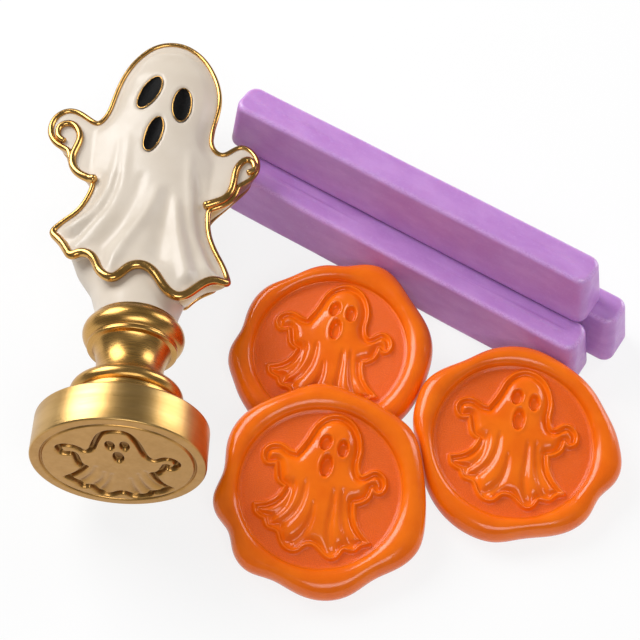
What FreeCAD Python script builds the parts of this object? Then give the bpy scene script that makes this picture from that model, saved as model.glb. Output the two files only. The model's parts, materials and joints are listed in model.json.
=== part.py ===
import FreeCAD, Part
import math
import os

os.makedirs("parts", exist_ok=True)

# Wax seal set: a stamp with a sheet-ghost handle, three wax sticks and three finished seals.
# All sizes in millimetres, angles in degrees. The stamp is drawn upright on its axis and then laid down.

# Seal head: a turned brass disc with a threaded boss at its back.
HEAD_DIAMETER = 30.0
HEAD_HEIGHT = 7.2
HEAD_EDGE_ROUND = 0.35
BOSS_DIAMETER = 17.6
BOSS_HEIGHT = 3.0
FACE_DIAMETER = 26.6
FACE_GROOVE_WIDTH = 0.5
FACE_GROOVE_DEPTH = 0.4
EMBLEM_DEPTH = 0.7
HEAD_THREAD_DEPTH = 7.6

# Spacer ring between the boss and the collar.
SPACER_DIAMETER = 19.0
SPACER_THICKNESS = 1.2
SPACER_EDGE_ROUND = 0.3

# Turned collar, from the spacer ring up to the neck of the ghost.
COLLAR_HEIGHT = 16.6
FLANGE_DIAMETER = 19.8
FLANGE_FOOT_DIAMETER = 18.2
FLANGE_TOP_DIAMETER = 16.4
COVE_DIAMETER = 11.9
COVE_FOOT_DIAMETER = 13.6
COVE_TOP_DIAMETER = 14.2
RING_DIAMETER = 16.0
BEAD_DIAMETER = 18.2
BEAD_TOP_DIAMETER = 16.8
STEP_DIAMETER = 15.6
FLANGE_BULGE_SHARE = 0.08
FLANGE_TOP_SHARE = 0.19
COVE_FOOT_SHARE = 0.21
COVE_WAIST_SHARE = 0.41
COVE_TOP_SHARE = 0.66
RING_TOP_SHARE = 0.71
BEAD_BULGE_SHARE = 0.83
BEAD_TOP_SHARE = 0.95

# Threaded stud that draws handle, collar and head together.
STUD_DIAMETER = 6.0
STUD_TOP_DEPTH = 10.0
STUD_CHAMFER = 0.5
STUD_PLAY = 0.04
END_PLAY = 0.2

# Ghost handle: a gilded casting with a rim, filled with enamel on both sides.
GHOST_HALF_SPAN = 20.5
GHOST_HEIGHT = 63.0
GHOST_RISE = 2.3
GHOST_OFFSET = -0.42
CORE_THICKNESS = 3.4
ARM_DEPTH = 3.2
BACK_ARM_DEPTH = 2.0
FRONT_DEPTH = 7.0
BACK_DEPTH = 5.4
RIM_WIDTH = 1.3
RIM_PROUD = 0.4
FOLD_DEPTH = 0.75
FOLD_PERIOD_SHARE = 0.73
FOLD_PHASE_SHARE = 0.5
FOLD_TOP_SHARE = 0.62
EYE_RIM_WIDTH = 0.35
EYE_SINK = 0.35
STEM_DIAMETER = 9.6

# Outline of the ghost, seen from the front, as shares of half span and height.
# Each run is one smooth curve; runs meet in corners at the armpits, curls and hem ends.
HEAD_RUN_SHARES = [
    (-0.537, 0.665), (-0.47, 0.70), (-0.425, 0.762), (-0.37, 0.85), (-0.24, 0.942), (-0.08, 0.99), (0.105, 1.0),
    (0.335, 0.962), (0.50, 0.884), (0.585, 0.79), (0.575, 0.70), (0.545, 0.625), (0.575, 0.575), (0.66, 0.556),
    (0.745, 0.577), (0.84, 0.594), (0.94, 0.571), (1.0, 0.524), (0.97, 0.479), (0.895, 0.455), (0.83, 0.44),
]
RIGHT_CUFF_SHARES = [(0.83, 0.44), (0.795, 0.394), (0.71, 0.368), (0.575, 0.35)]
RIGHT_SIDE_SHARES = [(0.575, 0.35), (0.60, 0.263), (0.68, 0.194), (0.775, 0.132), (0.82, 0.079)]
HEM_RUN_SHARES = [
    (0.82, 0.079), (0.705, 0.083), (0.605, 0.062), (0.507, 0.025), (0.405, 0.003), (0.302, 0.022), (0.205, 0.068),
    (0.09, 0.101), (-0.015, 0.10), (-0.095, 0.073), (-0.175, 0.048), (-0.263, 0.063), (-0.347, 0.114),
    (-0.425, 0.152), (-0.507, 0.159), (-0.58, 0.143),
]
LEFT_HEM_SHARES = [(-0.58, 0.143), (-0.63, 0.171), (-0.70, 0.21), (-0.815, 0.248)]
LEFT_SIDE_SHARES = [
    (-0.815, 0.248), (-0.72, 0.289), (-0.61, 0.324), (-0.537, 0.371), (-0.507, 0.41), (-0.498, 0.447),
]
LEFT_CUFF_SHARES = [(-0.498, 0.447), (-0.605, 0.462), (-0.69, 0.489), (-0.75, 0.527), (-0.77, 0.565)]
LEFT_HAND_SHARES = [
    (-0.77, 0.565), (-0.85, 0.576), (-0.937, 0.602), (-0.98, 0.64), (-0.966, 0.681), (-0.907, 0.71),
    (-0.825, 0.722), (-0.712, 0.708), (-0.615, 0.683), (-0.537, 0.665),
]

# Body under the sheet: height, centre and half width as shares of height and half span.
BODY_LINE_SHARES = [
    (-0.08, 0.0, 0.86), (0.08, 0.0, 0.82), (0.19, -0.03, 0.72), (0.26, -0.09, 0.70), (0.33, -0.03, 0.60),
    (0.41, 0.02, 0.55), (0.52, 0.02, 0.57), (0.63, 0.02, 0.58), (0.74, 0.075, 0.53), (0.83, 0.095, 0.49),
    (0.905, 0.09, 0.42), (0.965, 0.095, 0.32), (1.03, 0.10, 0.22),
]
# Fullness of the body as shares of the front and back depth, at shares of the height.
FULLNESS_SHARES = [
    (-0.08, 1.0), (0.08, 1.0), (0.26, 0.92), (0.41, 0.84), (0.58, 0.86), (0.72, 0.93), (0.84, 0.92),
    (0.92, 0.80), (0.97, 0.64), (1.03, 0.48),
]
SECTION_COUNT = 11
ACROSS_COUNT = 21
MITRE_LIMIT_SHARE = -0.4

# Face ovals: centre x, centre height, half width, half height as shares, and lean in degrees.
LEFT_EYE_SHARES = (-0.06, 0.748, 0.088, 0.063)
LEFT_EYE_LEAN = 24.0
RIGHT_EYE_SHARES = (0.258, 0.706, 0.087, 0.060)
RIGHT_EYE_LEAN = 2.0
MOUTH_SHARES = (0.022, 0.588, 0.078, 0.060)
MOUTH_LEAN = 12.0

# Enamelled neck: a bell from the collar up into the skirt, half width, half depth and height as shares.
NECK_DIAMETER = 14.8
BELL_HALF_WIDTH = 13.4
BELL_HEIGHT = 11.0
BELL_SHARES = [(0.0, 0.0), (0.16, 0.02), (0.42, 0.22), (0.70, 0.70), (1.0, 1.0)]
BELL_HALF_DEPTH = 4.4
COLLAR_GAP = 0.15

# Scrolled bead on each hand, as half rings of falling radius.
CURL_RADIUS = 2.5
CURL_WIRE = 0.62
CURL_FALL_SHARES = (1.0, 0.70, 0.44)
LEFT_CURL_SHARES = (-0.835, 0.628)
RIGHT_CURL_SHARES = (0.845, 0.514)

# Wax sticks: drafted bars with rounded edges and swelled ends.
STICK_LENGTH = 78.6
STICK_TOP_LENGTH = 75.4
STICK_BASE = 8.8
STICK_TOP = 6.5
STICK_HEIGHT = 11.5
STICK_EDGE = 1.5
STICK_CORNER = 2.6
STICK_SIDE_GAP = 0.25
STICK_TURN = -33.4
STICK_X = 15.6
STICK_Y = 15.3
REAR_SHIFT = 3.4
TOP_SHIFT = -2.6
TOP_OFFSET = 6.3

# Finished seals: a lobed bead around a round impression with the ghost raised in it.
BACK_SEAL_RADIUS = 18.6
RIGHT_SEAL_RADIUS = 18.4
FRONT_SEAL_RADIUS = 18.8
SEAL_THICKNESS = 4.8
SEAL_EDGE = 1.8
RECESS_RADIUS = 14.2
RECESS_DEPTH = 1.9
RECESS_EDGE = 0.7
RELIEF_HEIGHT = 0.9
BACK_SEAL_SPIN = 33.0
RIGHT_SEAL_SPIN = 33.0
FRONT_SEAL_SPIN = 0.0
# Outer edge of each seal from above, as shares of the seal radius.
BACK_SEAL_SHARES = [
    (1.014, 0.016), (0.978, 0.225), (0.893, 0.403), (0.807, 0.556), (0.7, 0.749), (0.543, 0.91),
    (0.357, 0.958), (0.171, 0.942), (-0.029, 0.96), (-0.229, 0.918), (-0.428, 0.829), (-0.621, 0.754),
    (-0.771, 0.612), (-0.854, 0.419), (-0.903, 0.25), (-0.997, 0.081), (-1.021, -0.072), (-0.971, -0.258),
    (-0.914, -0.419), (-0.828, -0.58), (-0.7, -0.757), (-0.471, -0.926), (-0.186, -1.007), (0.143, -1.007),
    (0.428, -0.902), (0.7, -0.725), (0.886, -0.451), (0.978, -0.209),
]
RIGHT_SEAL_SHARES = [
    (1.037, -0.092), (0.996, 0.125), (0.922, 0.308), (0.806, 0.541), (0.642, 0.724), (0.444, 0.87),
    (0.23, 0.97), (-0.016, 0.99), (-0.23, 0.94), (-0.444, 0.837), (-0.683, 0.737), (-0.839, 0.604),
    (-0.922, 0.416), (-0.958, 0.191), (-0.913, -0.092), (-0.872, -0.358), (-0.773, -0.607),
    (-0.634, -0.782), (-0.444, -0.915), (-0.214, -0.98), (0.049, -0.947), (0.329, -0.917), (0.56, -0.84),
    (0.699, -0.715), (0.806, -0.544), (0.946, -0.416), (1.029, -0.266),
]
FRONT_SEAL_SHARES = [
    (0.974, -0.03), (0.953, 0.241), (0.855, 0.573), (0.68, 0.731), (0.47, 0.86), (0.259, 0.958),
    (0.007, 1.025), (-0.231, 0.968), (-0.512, 0.857), (-0.771, 0.664), (-0.876, 0.407), (-0.901, 0.166),
    (-0.988, -0.075), (-0.946, -0.249), (-0.845, -0.392), (-0.799, -0.573), (-0.666, -0.754),
    (-0.456, -0.832), (-0.231, -0.953), (0.035, -1.025), (0.273, -0.973), (0.484, -0.837), (0.722, -0.724),
    (0.89, -0.573), (0.963, -0.332),
]

# Ghost of the impression, as shares of the radius of the round field that it stands in.
EMBLEM_HEAD_SHARES = [
    (-0.296, 0.444), (-0.157, 0.618), (-0.056, 0.777), (0.056, 0.876), (0.176, 0.916), (0.315, 0.886),
    (0.435, 0.781), (0.5, 0.608), (0.5, 0.428), (0.465, 0.259), (0.509, 0.139), (0.593, 0.171),
    (0.685, 0.199), (0.769, 0.143), (0.8, 0.036), (0.759, -0.056), (0.685, -0.074), (0.639, -0.02),
]
EMBLEM_RIGHT_CUFF_SHARES = [
    (0.639, -0.02), (0.593, -0.12), (0.509, -0.183), (0.417, -0.203),
]
EMBLEM_RIGHT_SIDE_SHARES = [
    (0.417, -0.203), (0.417, -0.378), (0.472, -0.538), (0.583, -0.687),
]
EMBLEM_HEM_SHARES = [
    (0.583, -0.687), (0.481, -0.713), (0.398, -0.769), (0.278, -0.753), (0.204, -0.833), (0.12, -0.867),
    (0.028, -0.807), (-0.074, -0.707), (-0.185, -0.697), (-0.287, -0.767), (-0.389, -0.757),
    (-0.481, -0.647), (-0.531, -0.528), (-0.63, -0.484), (-0.676, -0.378),
]
EMBLEM_LEFT_HEM_SHARES = [
    (-0.676, -0.378), (-0.787, -0.289), (-0.796, -0.195),
]
EMBLEM_LEFT_SIDE_SHARES = [
    (-0.796, -0.195), (-0.639, -0.173), (-0.5, -0.09), (-0.426, 0.02),
]
EMBLEM_LEFT_CUFF_SHARES = [
    (-0.426, 0.02), (-0.509, 0.096), (-0.528, 0.209), (-0.537, 0.315),
]
EMBLEM_LEFT_HAND_SHARES = [
    (-0.537, 0.315), (-0.648, 0.315), (-0.694, 0.398), (-0.667, 0.502), (-0.565, 0.554), (-0.454, 0.534),
    (-0.37, 0.472), (-0.296, 0.444),
]
EMBLEM_OVAL_SHARES = [(0.074, 0.558, 0.075, 0.106), (0.283, 0.478, 0.07, 0.112), (0.076, 0.263, 0.078, 0.15)]
EMBLEM_OVAL_LEANS = (22.0, 8.0, 12.0)

# Lie of the set on its surface.
STAMP_X = -34.0
STAMP_Y = -32.5
STAMP_TURN = -2.0
SEAT_GAP = 0.12
HAND_SEAT_SHARE = 0.575
BACK_SEAL_ALONG = -0.9
BACK_SEAL_LEAN = 8.0
RIGHT_SEAL_LEAN = 8.0
RIGHT_SEAL_ROLL = 6.0
FRONT_SEAL_LEAN = 12.0
FRONT_SEAL_X = 0.0
SETTLE_STEPS = 40
MESH_SAG = 0.02

ORIGIN = FreeCAD.Vector(0, 0, 0)
X_AXIS = FreeCAD.Vector(1, 0, 0)
Y_AXIS = FreeCAD.Vector(0, 1, 0)
Z_AXIS = FreeCAD.Vector(0, 0, 1)


def vec(x, y, z):
    return FreeCAD.Vector(x, y, z)


def smooth(points):
    curve = Part.BSplineCurve()
    curve.interpolate(points)
    return curve.toShape()


def table(rows, at, column):
    for low, high in zip(rows, rows[1:]):
        if at <= high[0]:
            break
    part = min(max((at - low[0]) / (high[0] - low[0]), 0.0), 1.0)
    part = part * part * (3 - 2 * part)
    return low[column] + (high[column] - low[column]) * part


# Heights along the stamp.
boss_top = HEAD_HEIGHT + BOSS_HEIGHT
collar_foot = boss_top + SPACER_THICKNESS
collar_top = collar_foot + COLLAR_HEIGHT
ghost_foot = collar_top + GHOST_RISE
stud_foot = boss_top - HEAD_THREAD_DEPTH + END_PLAY
stud_top = collar_top + STUD_TOP_DEPTH
stud_radius = STUD_DIAMETER / 2
head_radius = HEAD_DIAMETER / 2


def revolve(points):
    face = Part.Face(Part.Wire(points))
    return face.revolve(ORIGIN, Z_AXIS, 360)


def line(a, b):
    return Part.LineSegment(a, b).toShape()


def arc(a, b, c):
    return Part.Arc(a, b, c).toShape()


def drum(radius, low, high):
    return Part.makeCylinder(radius, high - low, vec(0, 0, low))


def ghost_point(share):
    return vec(GHOST_OFFSET + share[0] * GHOST_HALF_SPAN, 0, ghost_foot + share[1] * GHOST_HEIGHT)


OUTLINE_RUNS = [
    HEAD_RUN_SHARES, RIGHT_CUFF_SHARES, RIGHT_SIDE_SHARES, HEM_RUN_SHARES, LEFT_HEM_SHARES, LEFT_SIDE_SHARES,
    LEFT_CUFF_SHARES, LEFT_HAND_SHARES,
]


def ghost_wire():
    return Part.Wire([smooth([ghost_point(s) for s in run]) for run in OUTLINE_RUNS])


def inset_wire(width):
    # Each run moved inwards along its own normals; neighbouring runs meet on the mitre of their corner.
    rows = []
    for run in OUTLINE_RUNS:
        curve = Part.BSplineCurve()
        curve.interpolate([ghost_point(s) for s in run])
        row = []
        for share in run:
            spot = ghost_point(share)
            along = curve.tangent(curve.parameter(spot))[0]
            row.append((spot, vec(along.z, 0, -along.x)))
        rows.append(row)
    corners = []
    for row, after in zip(rows, rows[1:] + rows[:1]):
        one = row[-1][1]
        two = after[0][1]
        corners.append(row[-1][0] + (one + two) * (width / (1 + max(one.dot(two), MITRE_LIMIT_SHARE))))
    edges = []
    for i, row in enumerate(rows):
        middle = [spot + normal * width for spot, normal in row[1:-1]]
        edges.append(smooth([corners[i - 1]] + middle + [corners[i]]))
    return Part.Wire(edges)


def front_depth(x, z, extra):
    share = (z - ghost_foot) / GHOST_HEIGHT
    centre = GHOST_OFFSET + table(BODY_LINE_SHARES, share, 1) * GHOST_HALF_SPAN
    half = table(BODY_LINE_SHARES, share, 2) * GHOST_HALF_SPAN
    across = min(max((x - centre) / half, -1.0), 1.0)
    dome = 1 - across * across
    full = FRONT_DEPTH * table(FULLNESS_SHARES, share, 1)
    fall = min(max((FOLD_TOP_SHARE - share) / FOLD_TOP_SHARE, 0.0), 1.0)
    wave = math.cos(2 * math.pi * (across - FOLD_PHASE_SHARE) / FOLD_PERIOD_SHARE)
    fold = FOLD_DEPTH * fall * wave * math.sqrt(dome)
    return ARM_DEPTH + max(full - ARM_DEPTH, 0.0) * dome + fold + extra


def back_depth(x, z, extra):
    share = (z - ghost_foot) / GHOST_HEIGHT
    centre = GHOST_OFFSET + table(BODY_LINE_SHARES, share, 1) * GHOST_HALF_SPAN
    half = table(BODY_LINE_SHARES, share, 2) * GHOST_HALF_SPAN
    across = min(max((x - centre) / half, -1.0), 1.0)
    full = BACK_DEPTH * table(FULLNESS_SHARES, share, 1)
    return BACK_ARM_DEPTH + max(full - BACK_ARM_DEPTH, 0.0) * (1 - across * across) + extra


def drape(extra):
    reach = GHOST_HALF_SPAN + RIM_WIDTH
    low = BODY_LINE_SHARES[0][0]
    high = BODY_LINE_SHARES[-1][0]
    wires = []
    for i in range(SECTION_COUNT):
        z = ghost_foot + GHOST_HEIGHT * (low + (high - low) * i / (SECTION_COUNT - 1))
        xs = [reach * (2 * k / (ACROSS_COUNT - 1) - 1) for k in range(ACROSS_COUNT)]
        front = [vec(x, -front_depth(x, z, extra), z) for x in xs]
        back = [vec(x, back_depth(x, z, extra), z) for x in reversed(xs)]
        edges = [smooth(front), line(front[-1], back[0]), smooth(back), line(back[-1], front[0])]
        wires.append(Part.Wire(edges))
    return Part.makeLoft(wires, True, False)


def slab(wire, start, depth):
    face = Part.Face(wire)
    face.translate(vec(0, start, 0))
    return face.extrude(vec(0, depth, 0))


def oval(shares, lean, grow):
    half_wide = shares[2] * GHOST_HALF_SPAN + grow
    half_high = shares[3] * GHOST_HEIGHT + grow
    wire = Part.Wire(Part.Ellipse(ORIGIN, half_high, half_wide).toShape())
    wire.rotate(ORIGIN, X_AXIS, 90)
    wire.rotate(ORIGIN, Y_AXIS, lean - 90)
    wire.translate(ghost_point(shares))
    return wire


def curl(shares, side):
    # Half rings of falling radius, each starting where the last one ends, in the plane of the hand.
    centre = ghost_point(shares)
    depth = -ARM_DEPTH
    scroll = None
    spot = centre.x
    for turn, share in enumerate(CURL_FALL_SHARES):
        radius = CURL_RADIUS * share
        up = 1 if turn % 2 == 0 else -1
        ring = Part.makeTorus(radius, CURL_WIRE, ORIGIN, Z_AXIS, 0, 360, 180)
        ring.rotate(ORIGIN, X_AXIS, 90)
        if up < 0:
            ring.rotate(ORIGIN, Y_AXIS, 180)
        if turn:
            spot = spot - side * up * (CURL_RADIUS * CURL_FALL_SHARES[turn - 1] - radius)
        ring.translate(vec(spot, depth, centre.z))
        scroll = ring if scroll is None else scroll.fuse(ring)
    return scroll


def emblem(radius):
    # The ghost as a flat face with its eyes and mouth left out, upright in a round field.
    runs = [
        EMBLEM_HEAD_SHARES, EMBLEM_RIGHT_CUFF_SHARES, EMBLEM_RIGHT_SIDE_SHARES, EMBLEM_HEM_SHARES,
        EMBLEM_LEFT_HEM_SHARES, EMBLEM_LEFT_SIDE_SHARES, EMBLEM_LEFT_CUFF_SHARES, EMBLEM_LEFT_HAND_SHARES,
    ]
    face = Part.Face(Part.Wire([smooth([vec(x * radius, y * radius, 0) for x, y in run]) for run in runs]))
    for (x, y, half_wide, half_high), lean in zip(EMBLEM_OVAL_SHARES, EMBLEM_OVAL_LEANS):
        hole = Part.Face(Part.Wire(Part.Ellipse(ORIGIN, half_high * radius, half_wide * radius).toShape()))
        hole.rotate(ORIGIN, Z_AXIS, 90 - lean)
        hole.translate(vec(x * radius, y * radius, 0))
        face = face.cut(hole)
    return face


def head():
    r = head_radius
    body = drum(r, 0, HEAD_HEIGHT)
    body = body.makeFillet(HEAD_EDGE_ROUND, body.Edges)
    body = body.fuse(drum(BOSS_DIAMETER / 2, HEAD_HEIGHT, boss_top)).removeSplitter()
    body = body.cut(drum(stud_radius + STUD_PLAY, boss_top - HEAD_THREAD_DEPTH, boss_top))
    groove = drum(FACE_DIAMETER / 2, 0, FACE_GROOVE_DEPTH)
    groove = groove.cut(drum(FACE_DIAMETER / 2 - FACE_GROOVE_WIDTH, 0, FACE_GROOVE_DEPTH))
    # The engraving is the mirror image of the seals, upright as the stamp lies.
    cutter = emblem(FACE_DIAMETER / 2 - FACE_GROOVE_WIDTH).extrude(vec(0, 0, EMBLEM_DEPTH))
    cutter.rotate(ORIGIN, Z_AXIS, 180)
    return body.cut(groove).cut(cutter)


def spacer():
    ring = drum(SPACER_DIAMETER / 2, boss_top, collar_foot)
    ring = ring.makeFillet(SPACER_EDGE_ROUND, ring.Edges)
    return ring.cut(drum(stud_radius + STUD_PLAY, boss_top, collar_foot))


def collar():
    def at(diameter, share):
        return vec(diameter / 2, 0, collar_foot + share * COLLAR_HEIGHT)

    bore = 2 * (stud_radius + STUD_PLAY)
    foot = at(FLANGE_FOOT_DIAMETER, 0.0)
    flange_top = at(FLANGE_TOP_DIAMETER, FLANGE_TOP_SHARE)
    cove_foot = at(COVE_FOOT_DIAMETER, COVE_FOOT_SHARE)
    cove_top = at(COVE_TOP_DIAMETER, COVE_TOP_SHARE)
    ring_foot = at(RING_DIAMETER, COVE_TOP_SHARE)
    ring_top = at(RING_DIAMETER, RING_TOP_SHARE)
    bead_top = at(BEAD_TOP_DIAMETER, BEAD_TOP_SHARE)
    step_foot = at(STEP_DIAMETER, BEAD_TOP_SHARE)
    step_top = at(STEP_DIAMETER, 1.0)
    return revolve([
        line(at(bore, 0.0), foot),
        arc(foot, at(FLANGE_DIAMETER, FLANGE_BULGE_SHARE), flange_top),
        line(flange_top, cove_foot),
        arc(cove_foot, at(COVE_DIAMETER, COVE_WAIST_SHARE), cove_top),
        line(cove_top, ring_foot),
        line(ring_foot, ring_top),
        arc(ring_top, at(BEAD_DIAMETER, BEAD_BULGE_SHARE), bead_top),
        line(bead_top, step_foot),
        line(step_foot, step_top),
        line(step_top, at(bore, 1.0)),
        line(at(bore, 1.0), at(bore, 0.0)),
    ])


def stud():
    rod = drum(stud_radius, stud_foot, stud_top)
    ends = [e for e in rod.Edges if e.isClosed()]
    return rod.makeChamfer(STUD_CHAMFER, ends)


def neck():
    wires = []
    for rise, spread in BELL_SHARES:
        half_wide = NECK_DIAMETER / 2 + (BELL_HALF_WIDTH - NECK_DIAMETER / 2) * spread
        half_deep = NECK_DIAMETER / 2 + (BELL_HALF_DEPTH - NECK_DIAMETER / 2) * rise
        if half_wide > half_deep:
            ring = Part.Wire(Part.Ellipse(ORIGIN, half_wide, half_deep).toShape())
        else:
            ring = Part.Wire(Part.Circle(ORIGIN, Z_AXIS, half_wide).toShape())
        ring.translate(vec(0, 0, collar_top + rise * BELL_HEIGHT))
        wires.append(ring)
    return Part.makeLoft(wires, True, False)


def ghost():
    wire = ghost_wire()
    inner = inset_wire(RIM_WIDTH)
    deep = FRONT_DEPTH + BACK_DEPTH
    core = CORE_THICKNESS / 2
    skin = drape(0)
    outer = drape(RIM_PROUD)
    casting = outer.common(slab(wire, -deep, 2 * deep))
    front_pocket = slab(inner, -core, -deep)
    back_pocket = slab(inner, core, deep)
    casting = casting.cut(front_pocket).cut(back_pocket)
    front = skin.common(front_pocket)
    back = skin.common(back_pocket)
    pieces = {}
    sunk = drape(-EYE_SINK)
    faces = {
        "left_eye": (LEFT_EYE_SHARES, LEFT_EYE_LEAN),
        "right_eye": (RIGHT_EYE_SHARES, RIGHT_EYE_LEAN),
        "mouth": (MOUTH_SHARES, MOUTH_LEAN),
    }
    for name, (shares, lean) in faces.items():
        cell = slab(oval(shares, lean, 0), -core, -deep)
        wall = slab(oval(shares, lean, EYE_RIM_WIDTH), -core, -deep)
        front = front.cut(wall)
        casting = casting.fuse(outer.common(wall.cut(cell)))
        pieces[name] = sunk.common(cell)
    stem = drum(STEM_DIAMETER / 2, collar_top, stud_top + STUD_CHAMFER)
    casting = casting.fuse(stem)
    # The hem hangs around the top of the collar without touching it.
    recess = drum(BEAD_DIAMETER / 2 + COLLAR_GAP, collar_foot, collar_top)
    casting = casting.cut(recess)
    casting = casting.cut(drum(stud_radius + STUD_PLAY, collar_top, stud_top))
    front = front.cut(stem).cut(recess)
    back = back.cut(stem).cut(recess)
    bell = neck().cut(casting).cut(front).cut(back)
    bell = bell.cut(drum(stud_radius + STUD_PLAY, collar_top, stud_top))
    for name, shares, side in (("left_scroll", LEFT_CURL_SHARES, -1), ("right_scroll", RIGHT_CURL_SHARES, 1)):
        scroll = curl(shares, side)
        front = front.cut(scroll)
        pieces[name] = scroll.cut(casting)
    pieces["ghost_casting"] = casting
    pieces["front_enamel"] = front
    pieces["back_enamel"] = back
    # The cuts may leave a crumb at the skirt's edge beside the neck itself.
    pieces["neck_enamel"] = max(bell.Solids, key=lambda solid: solid.Volume)
    return pieces


def stick():
    # Bar along +X, middle over the origin, drafted on its sides and ends as it left its mould.
    wires = []
    for long, wide, height in ((STICK_LENGTH, STICK_BASE, 0), (STICK_TOP_LENGTH, STICK_TOP, STICK_HEIGHT)):
        wires.append(Part.makePolygon([
            vec(-long / 2, -wide / 2, height), vec(long / 2, -wide / 2, height), vec(long / 2, wide / 2, height),
            vec(-long / 2, wide / 2, height), vec(-long / 2, -wide / 2, height),
        ]))
    bar = Part.makeLoft(wires, True, True)
    upright = [e for e in bar.Edges if abs(e.BoundBox.ZLength - STICK_HEIGHT) < SEAT_GAP]
    bar = bar.makeFillet(STICK_CORNER, upright)
    flat = [e for e in bar.Edges if e.BoundBox.ZLength < SEAT_GAP]
    return bar.makeFillet(STICK_EDGE, flat)


def blank(shares, radius):
    # The lobed puck of poured wax, before the stamp is pressed into it.
    points = [vec(x * radius, y * radius, 0) for x, y in shares]
    curve = Part.BSplineCurve()
    curve.interpolate(points, PeriodicFlag=True)
    puck = Part.Face(Part.Wire(curve.toShape())).extrude(vec(0, 0, SEAL_THICKNESS))
    rims = [e for e in puck.Edges if e.isClosed()]
    return puck.makeFillet(SEAL_EDGE, rims)


def pressed(puck):
    floor = SEAL_THICKNESS - RECESS_DEPTH
    puck = puck.cut(drum(RECESS_RADIUS, floor, SEAL_THICKNESS))
    lip = [e for e in puck.Edges if e.isClosed() and abs(e.BoundBox.ZMin - SEAL_THICKNESS) < SEAT_GAP]
    lip = [e for e in lip if e.BoundBox.XMax < RECESS_RADIUS + SEAT_GAP]
    puck = puck.makeFillet(RECESS_EDGE, lip)
    relief = emblem(RECESS_RADIUS).extrude(vec(0, 0, RELIEF_HEIGHT))
    relief.translate(vec(0, 0, floor))
    return puck.fuse(relief)


def seal_at(shares, radius, spin, roll, lean):
    # Turned in its own plane, rolled and leaned so that its left and far edges rise, and set down on the surface.
    puck = blank(shares, radius)
    pair = [puck, pressed(puck)]
    for wax in pair:
        wax.rotate(ORIGIN, Z_AXIS, spin)
        wax.rotate(ORIGIN, Y_AXIS, roll)
        wax.rotate(ORIGIN, X_AXIS, lean)
    move(pair, vec(0, 0, -min(spot.z for spot in puck.tessellate(MESH_SAG)[0])))
    return pair


def move(pair, by):
    for wax in pair:
        wax.translate(by)


def settle(pair, others, way):
    # Slides a seal along a direction until its puck lies against its neighbours.
    for step in range(SETTLE_STEPS):
        gap = min(pair[0].distToShape(other)[0] for other in others) - SEAT_GAP
        if gap < SEAT_GAP / 4:
            break
        move(pair, way * gap)


def lay_sticks(piece):
    piece.rotate(ORIGIN, Z_AXIS, STICK_TURN)
    piece.translate(vec(STICK_X, STICK_Y, 0))


nodes = {}

# Wax sticks: two side by side, one across their tops.
front_bar = stick()
rear_bar = stick()
rear_bar.translate(vec(REAR_SHIFT, STICK_BASE + STICK_SIDE_GAP, 0))
top_bar = stick()
top_bar.translate(vec(TOP_SHIFT, TOP_OFFSET, STICK_HEIGHT + SEAT_GAP))

# Seals: two lean on the front stick, the third lies on both of them.
clear = STICK_BASE / 2 + 2 * RIGHT_SEAL_RADIUS
back_wax = seal_at(BACK_SEAL_SHARES, BACK_SEAL_RADIUS, BACK_SEAL_SPIN, 0, BACK_SEAL_LEAN)
move(back_wax, vec(BACK_SEAL_ALONG, -clear, 0))
settle(back_wax, [front_bar], Y_AXIS)
right_wax = seal_at(RIGHT_SEAL_SHARES, RIGHT_SEAL_RADIUS, RIGHT_SEAL_SPIN, RIGHT_SEAL_ROLL, RIGHT_SEAL_LEAN)
move(right_wax, vec(BACK_SEAL_ALONG, -clear, 0))
settle(right_wax, [front_bar], Y_AXIS)
move(right_wax, vec(3 * RIGHT_SEAL_RADIUS, 0, 0))
settle(right_wax, [back_wax[0]], -X_AXIS)
for piece in [front_bar, rear_bar, top_bar] + back_wax + right_wax:
    lay_sticks(piece)
front_wax = seal_at(FRONT_SEAL_SHARES, FRONT_SEAL_RADIUS, FRONT_SEAL_SPIN, 0, FRONT_SEAL_LEAN)
move(front_wax, vec(FRONT_SEAL_X, back_wax[0].BoundBox.YMin - 2 * FRONT_SEAL_RADIUS, 0))
settle(front_wax, [back_wax[0], right_wax[0]], Y_AXIS)
nodes.update({"stick_front": front_bar, "stick_rear": rear_bar, "stick_top": top_bar})
nodes.update({"seal_back": back_wax[1], "seal_right": right_wax[1], "seal_front": front_wax[1]})

# Stamp: the rim of its head on the surface, one hand on the front stick.
hand_height = ghost_foot + HAND_SEAT_SHARE * GHOST_HEIGHT
hand_back = BACK_ARM_DEPTH + RIM_PROUD + SEAT_GAP
stamp_tilt = math.degrees(math.asin((STICK_HEIGHT + hand_back - head_radius) / (hand_height - HEAD_HEIGHT)))
stamp = {"seal_head": head(), "spacer_ring": spacer(), "collar": collar(), "stud": stud()}
stamp.update(ghost())
lie = FreeCAD.Rotation(Z_AXIS, STAMP_TURN) * FreeCAD.Rotation(X_AXIS, stamp_tilt - 90)
lean = math.radians(stamp_tilt)
foot = vec(STAMP_X, STAMP_Y, head_radius * math.cos(lean) - HEAD_HEIGHT * math.sin(lean))
for name, piece in stamp.items():
    piece.Placement = FreeCAD.Placement(foot, lie) * piece.Placement
    nodes[name] = piece

# The origin is under the middle of the whole set, on the surface that it lies on.
box = FreeCAD.BoundBox()
for piece in nodes.values():
    for spot in piece.tessellate(MESH_SAG)[0]:
        box.add(spot)
shift = vec(-box.Center.x, -box.Center.y, -box.ZMin)
for name, piece in nodes.items():
    piece.translate(shift)
    piece.exportStep("parts/" + name + ".step")
    print(name, len(piece.Solids), round(piece.Volume, 1), piece.isValid())
print("shift", shift, "size", box.XLength, box.YLength, box.ZLength)
print("stamp foot", foot + shift, "axis", lie.multVec(Z_AXIS), "face", lie.multVec(-Y_AXIS))
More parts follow.
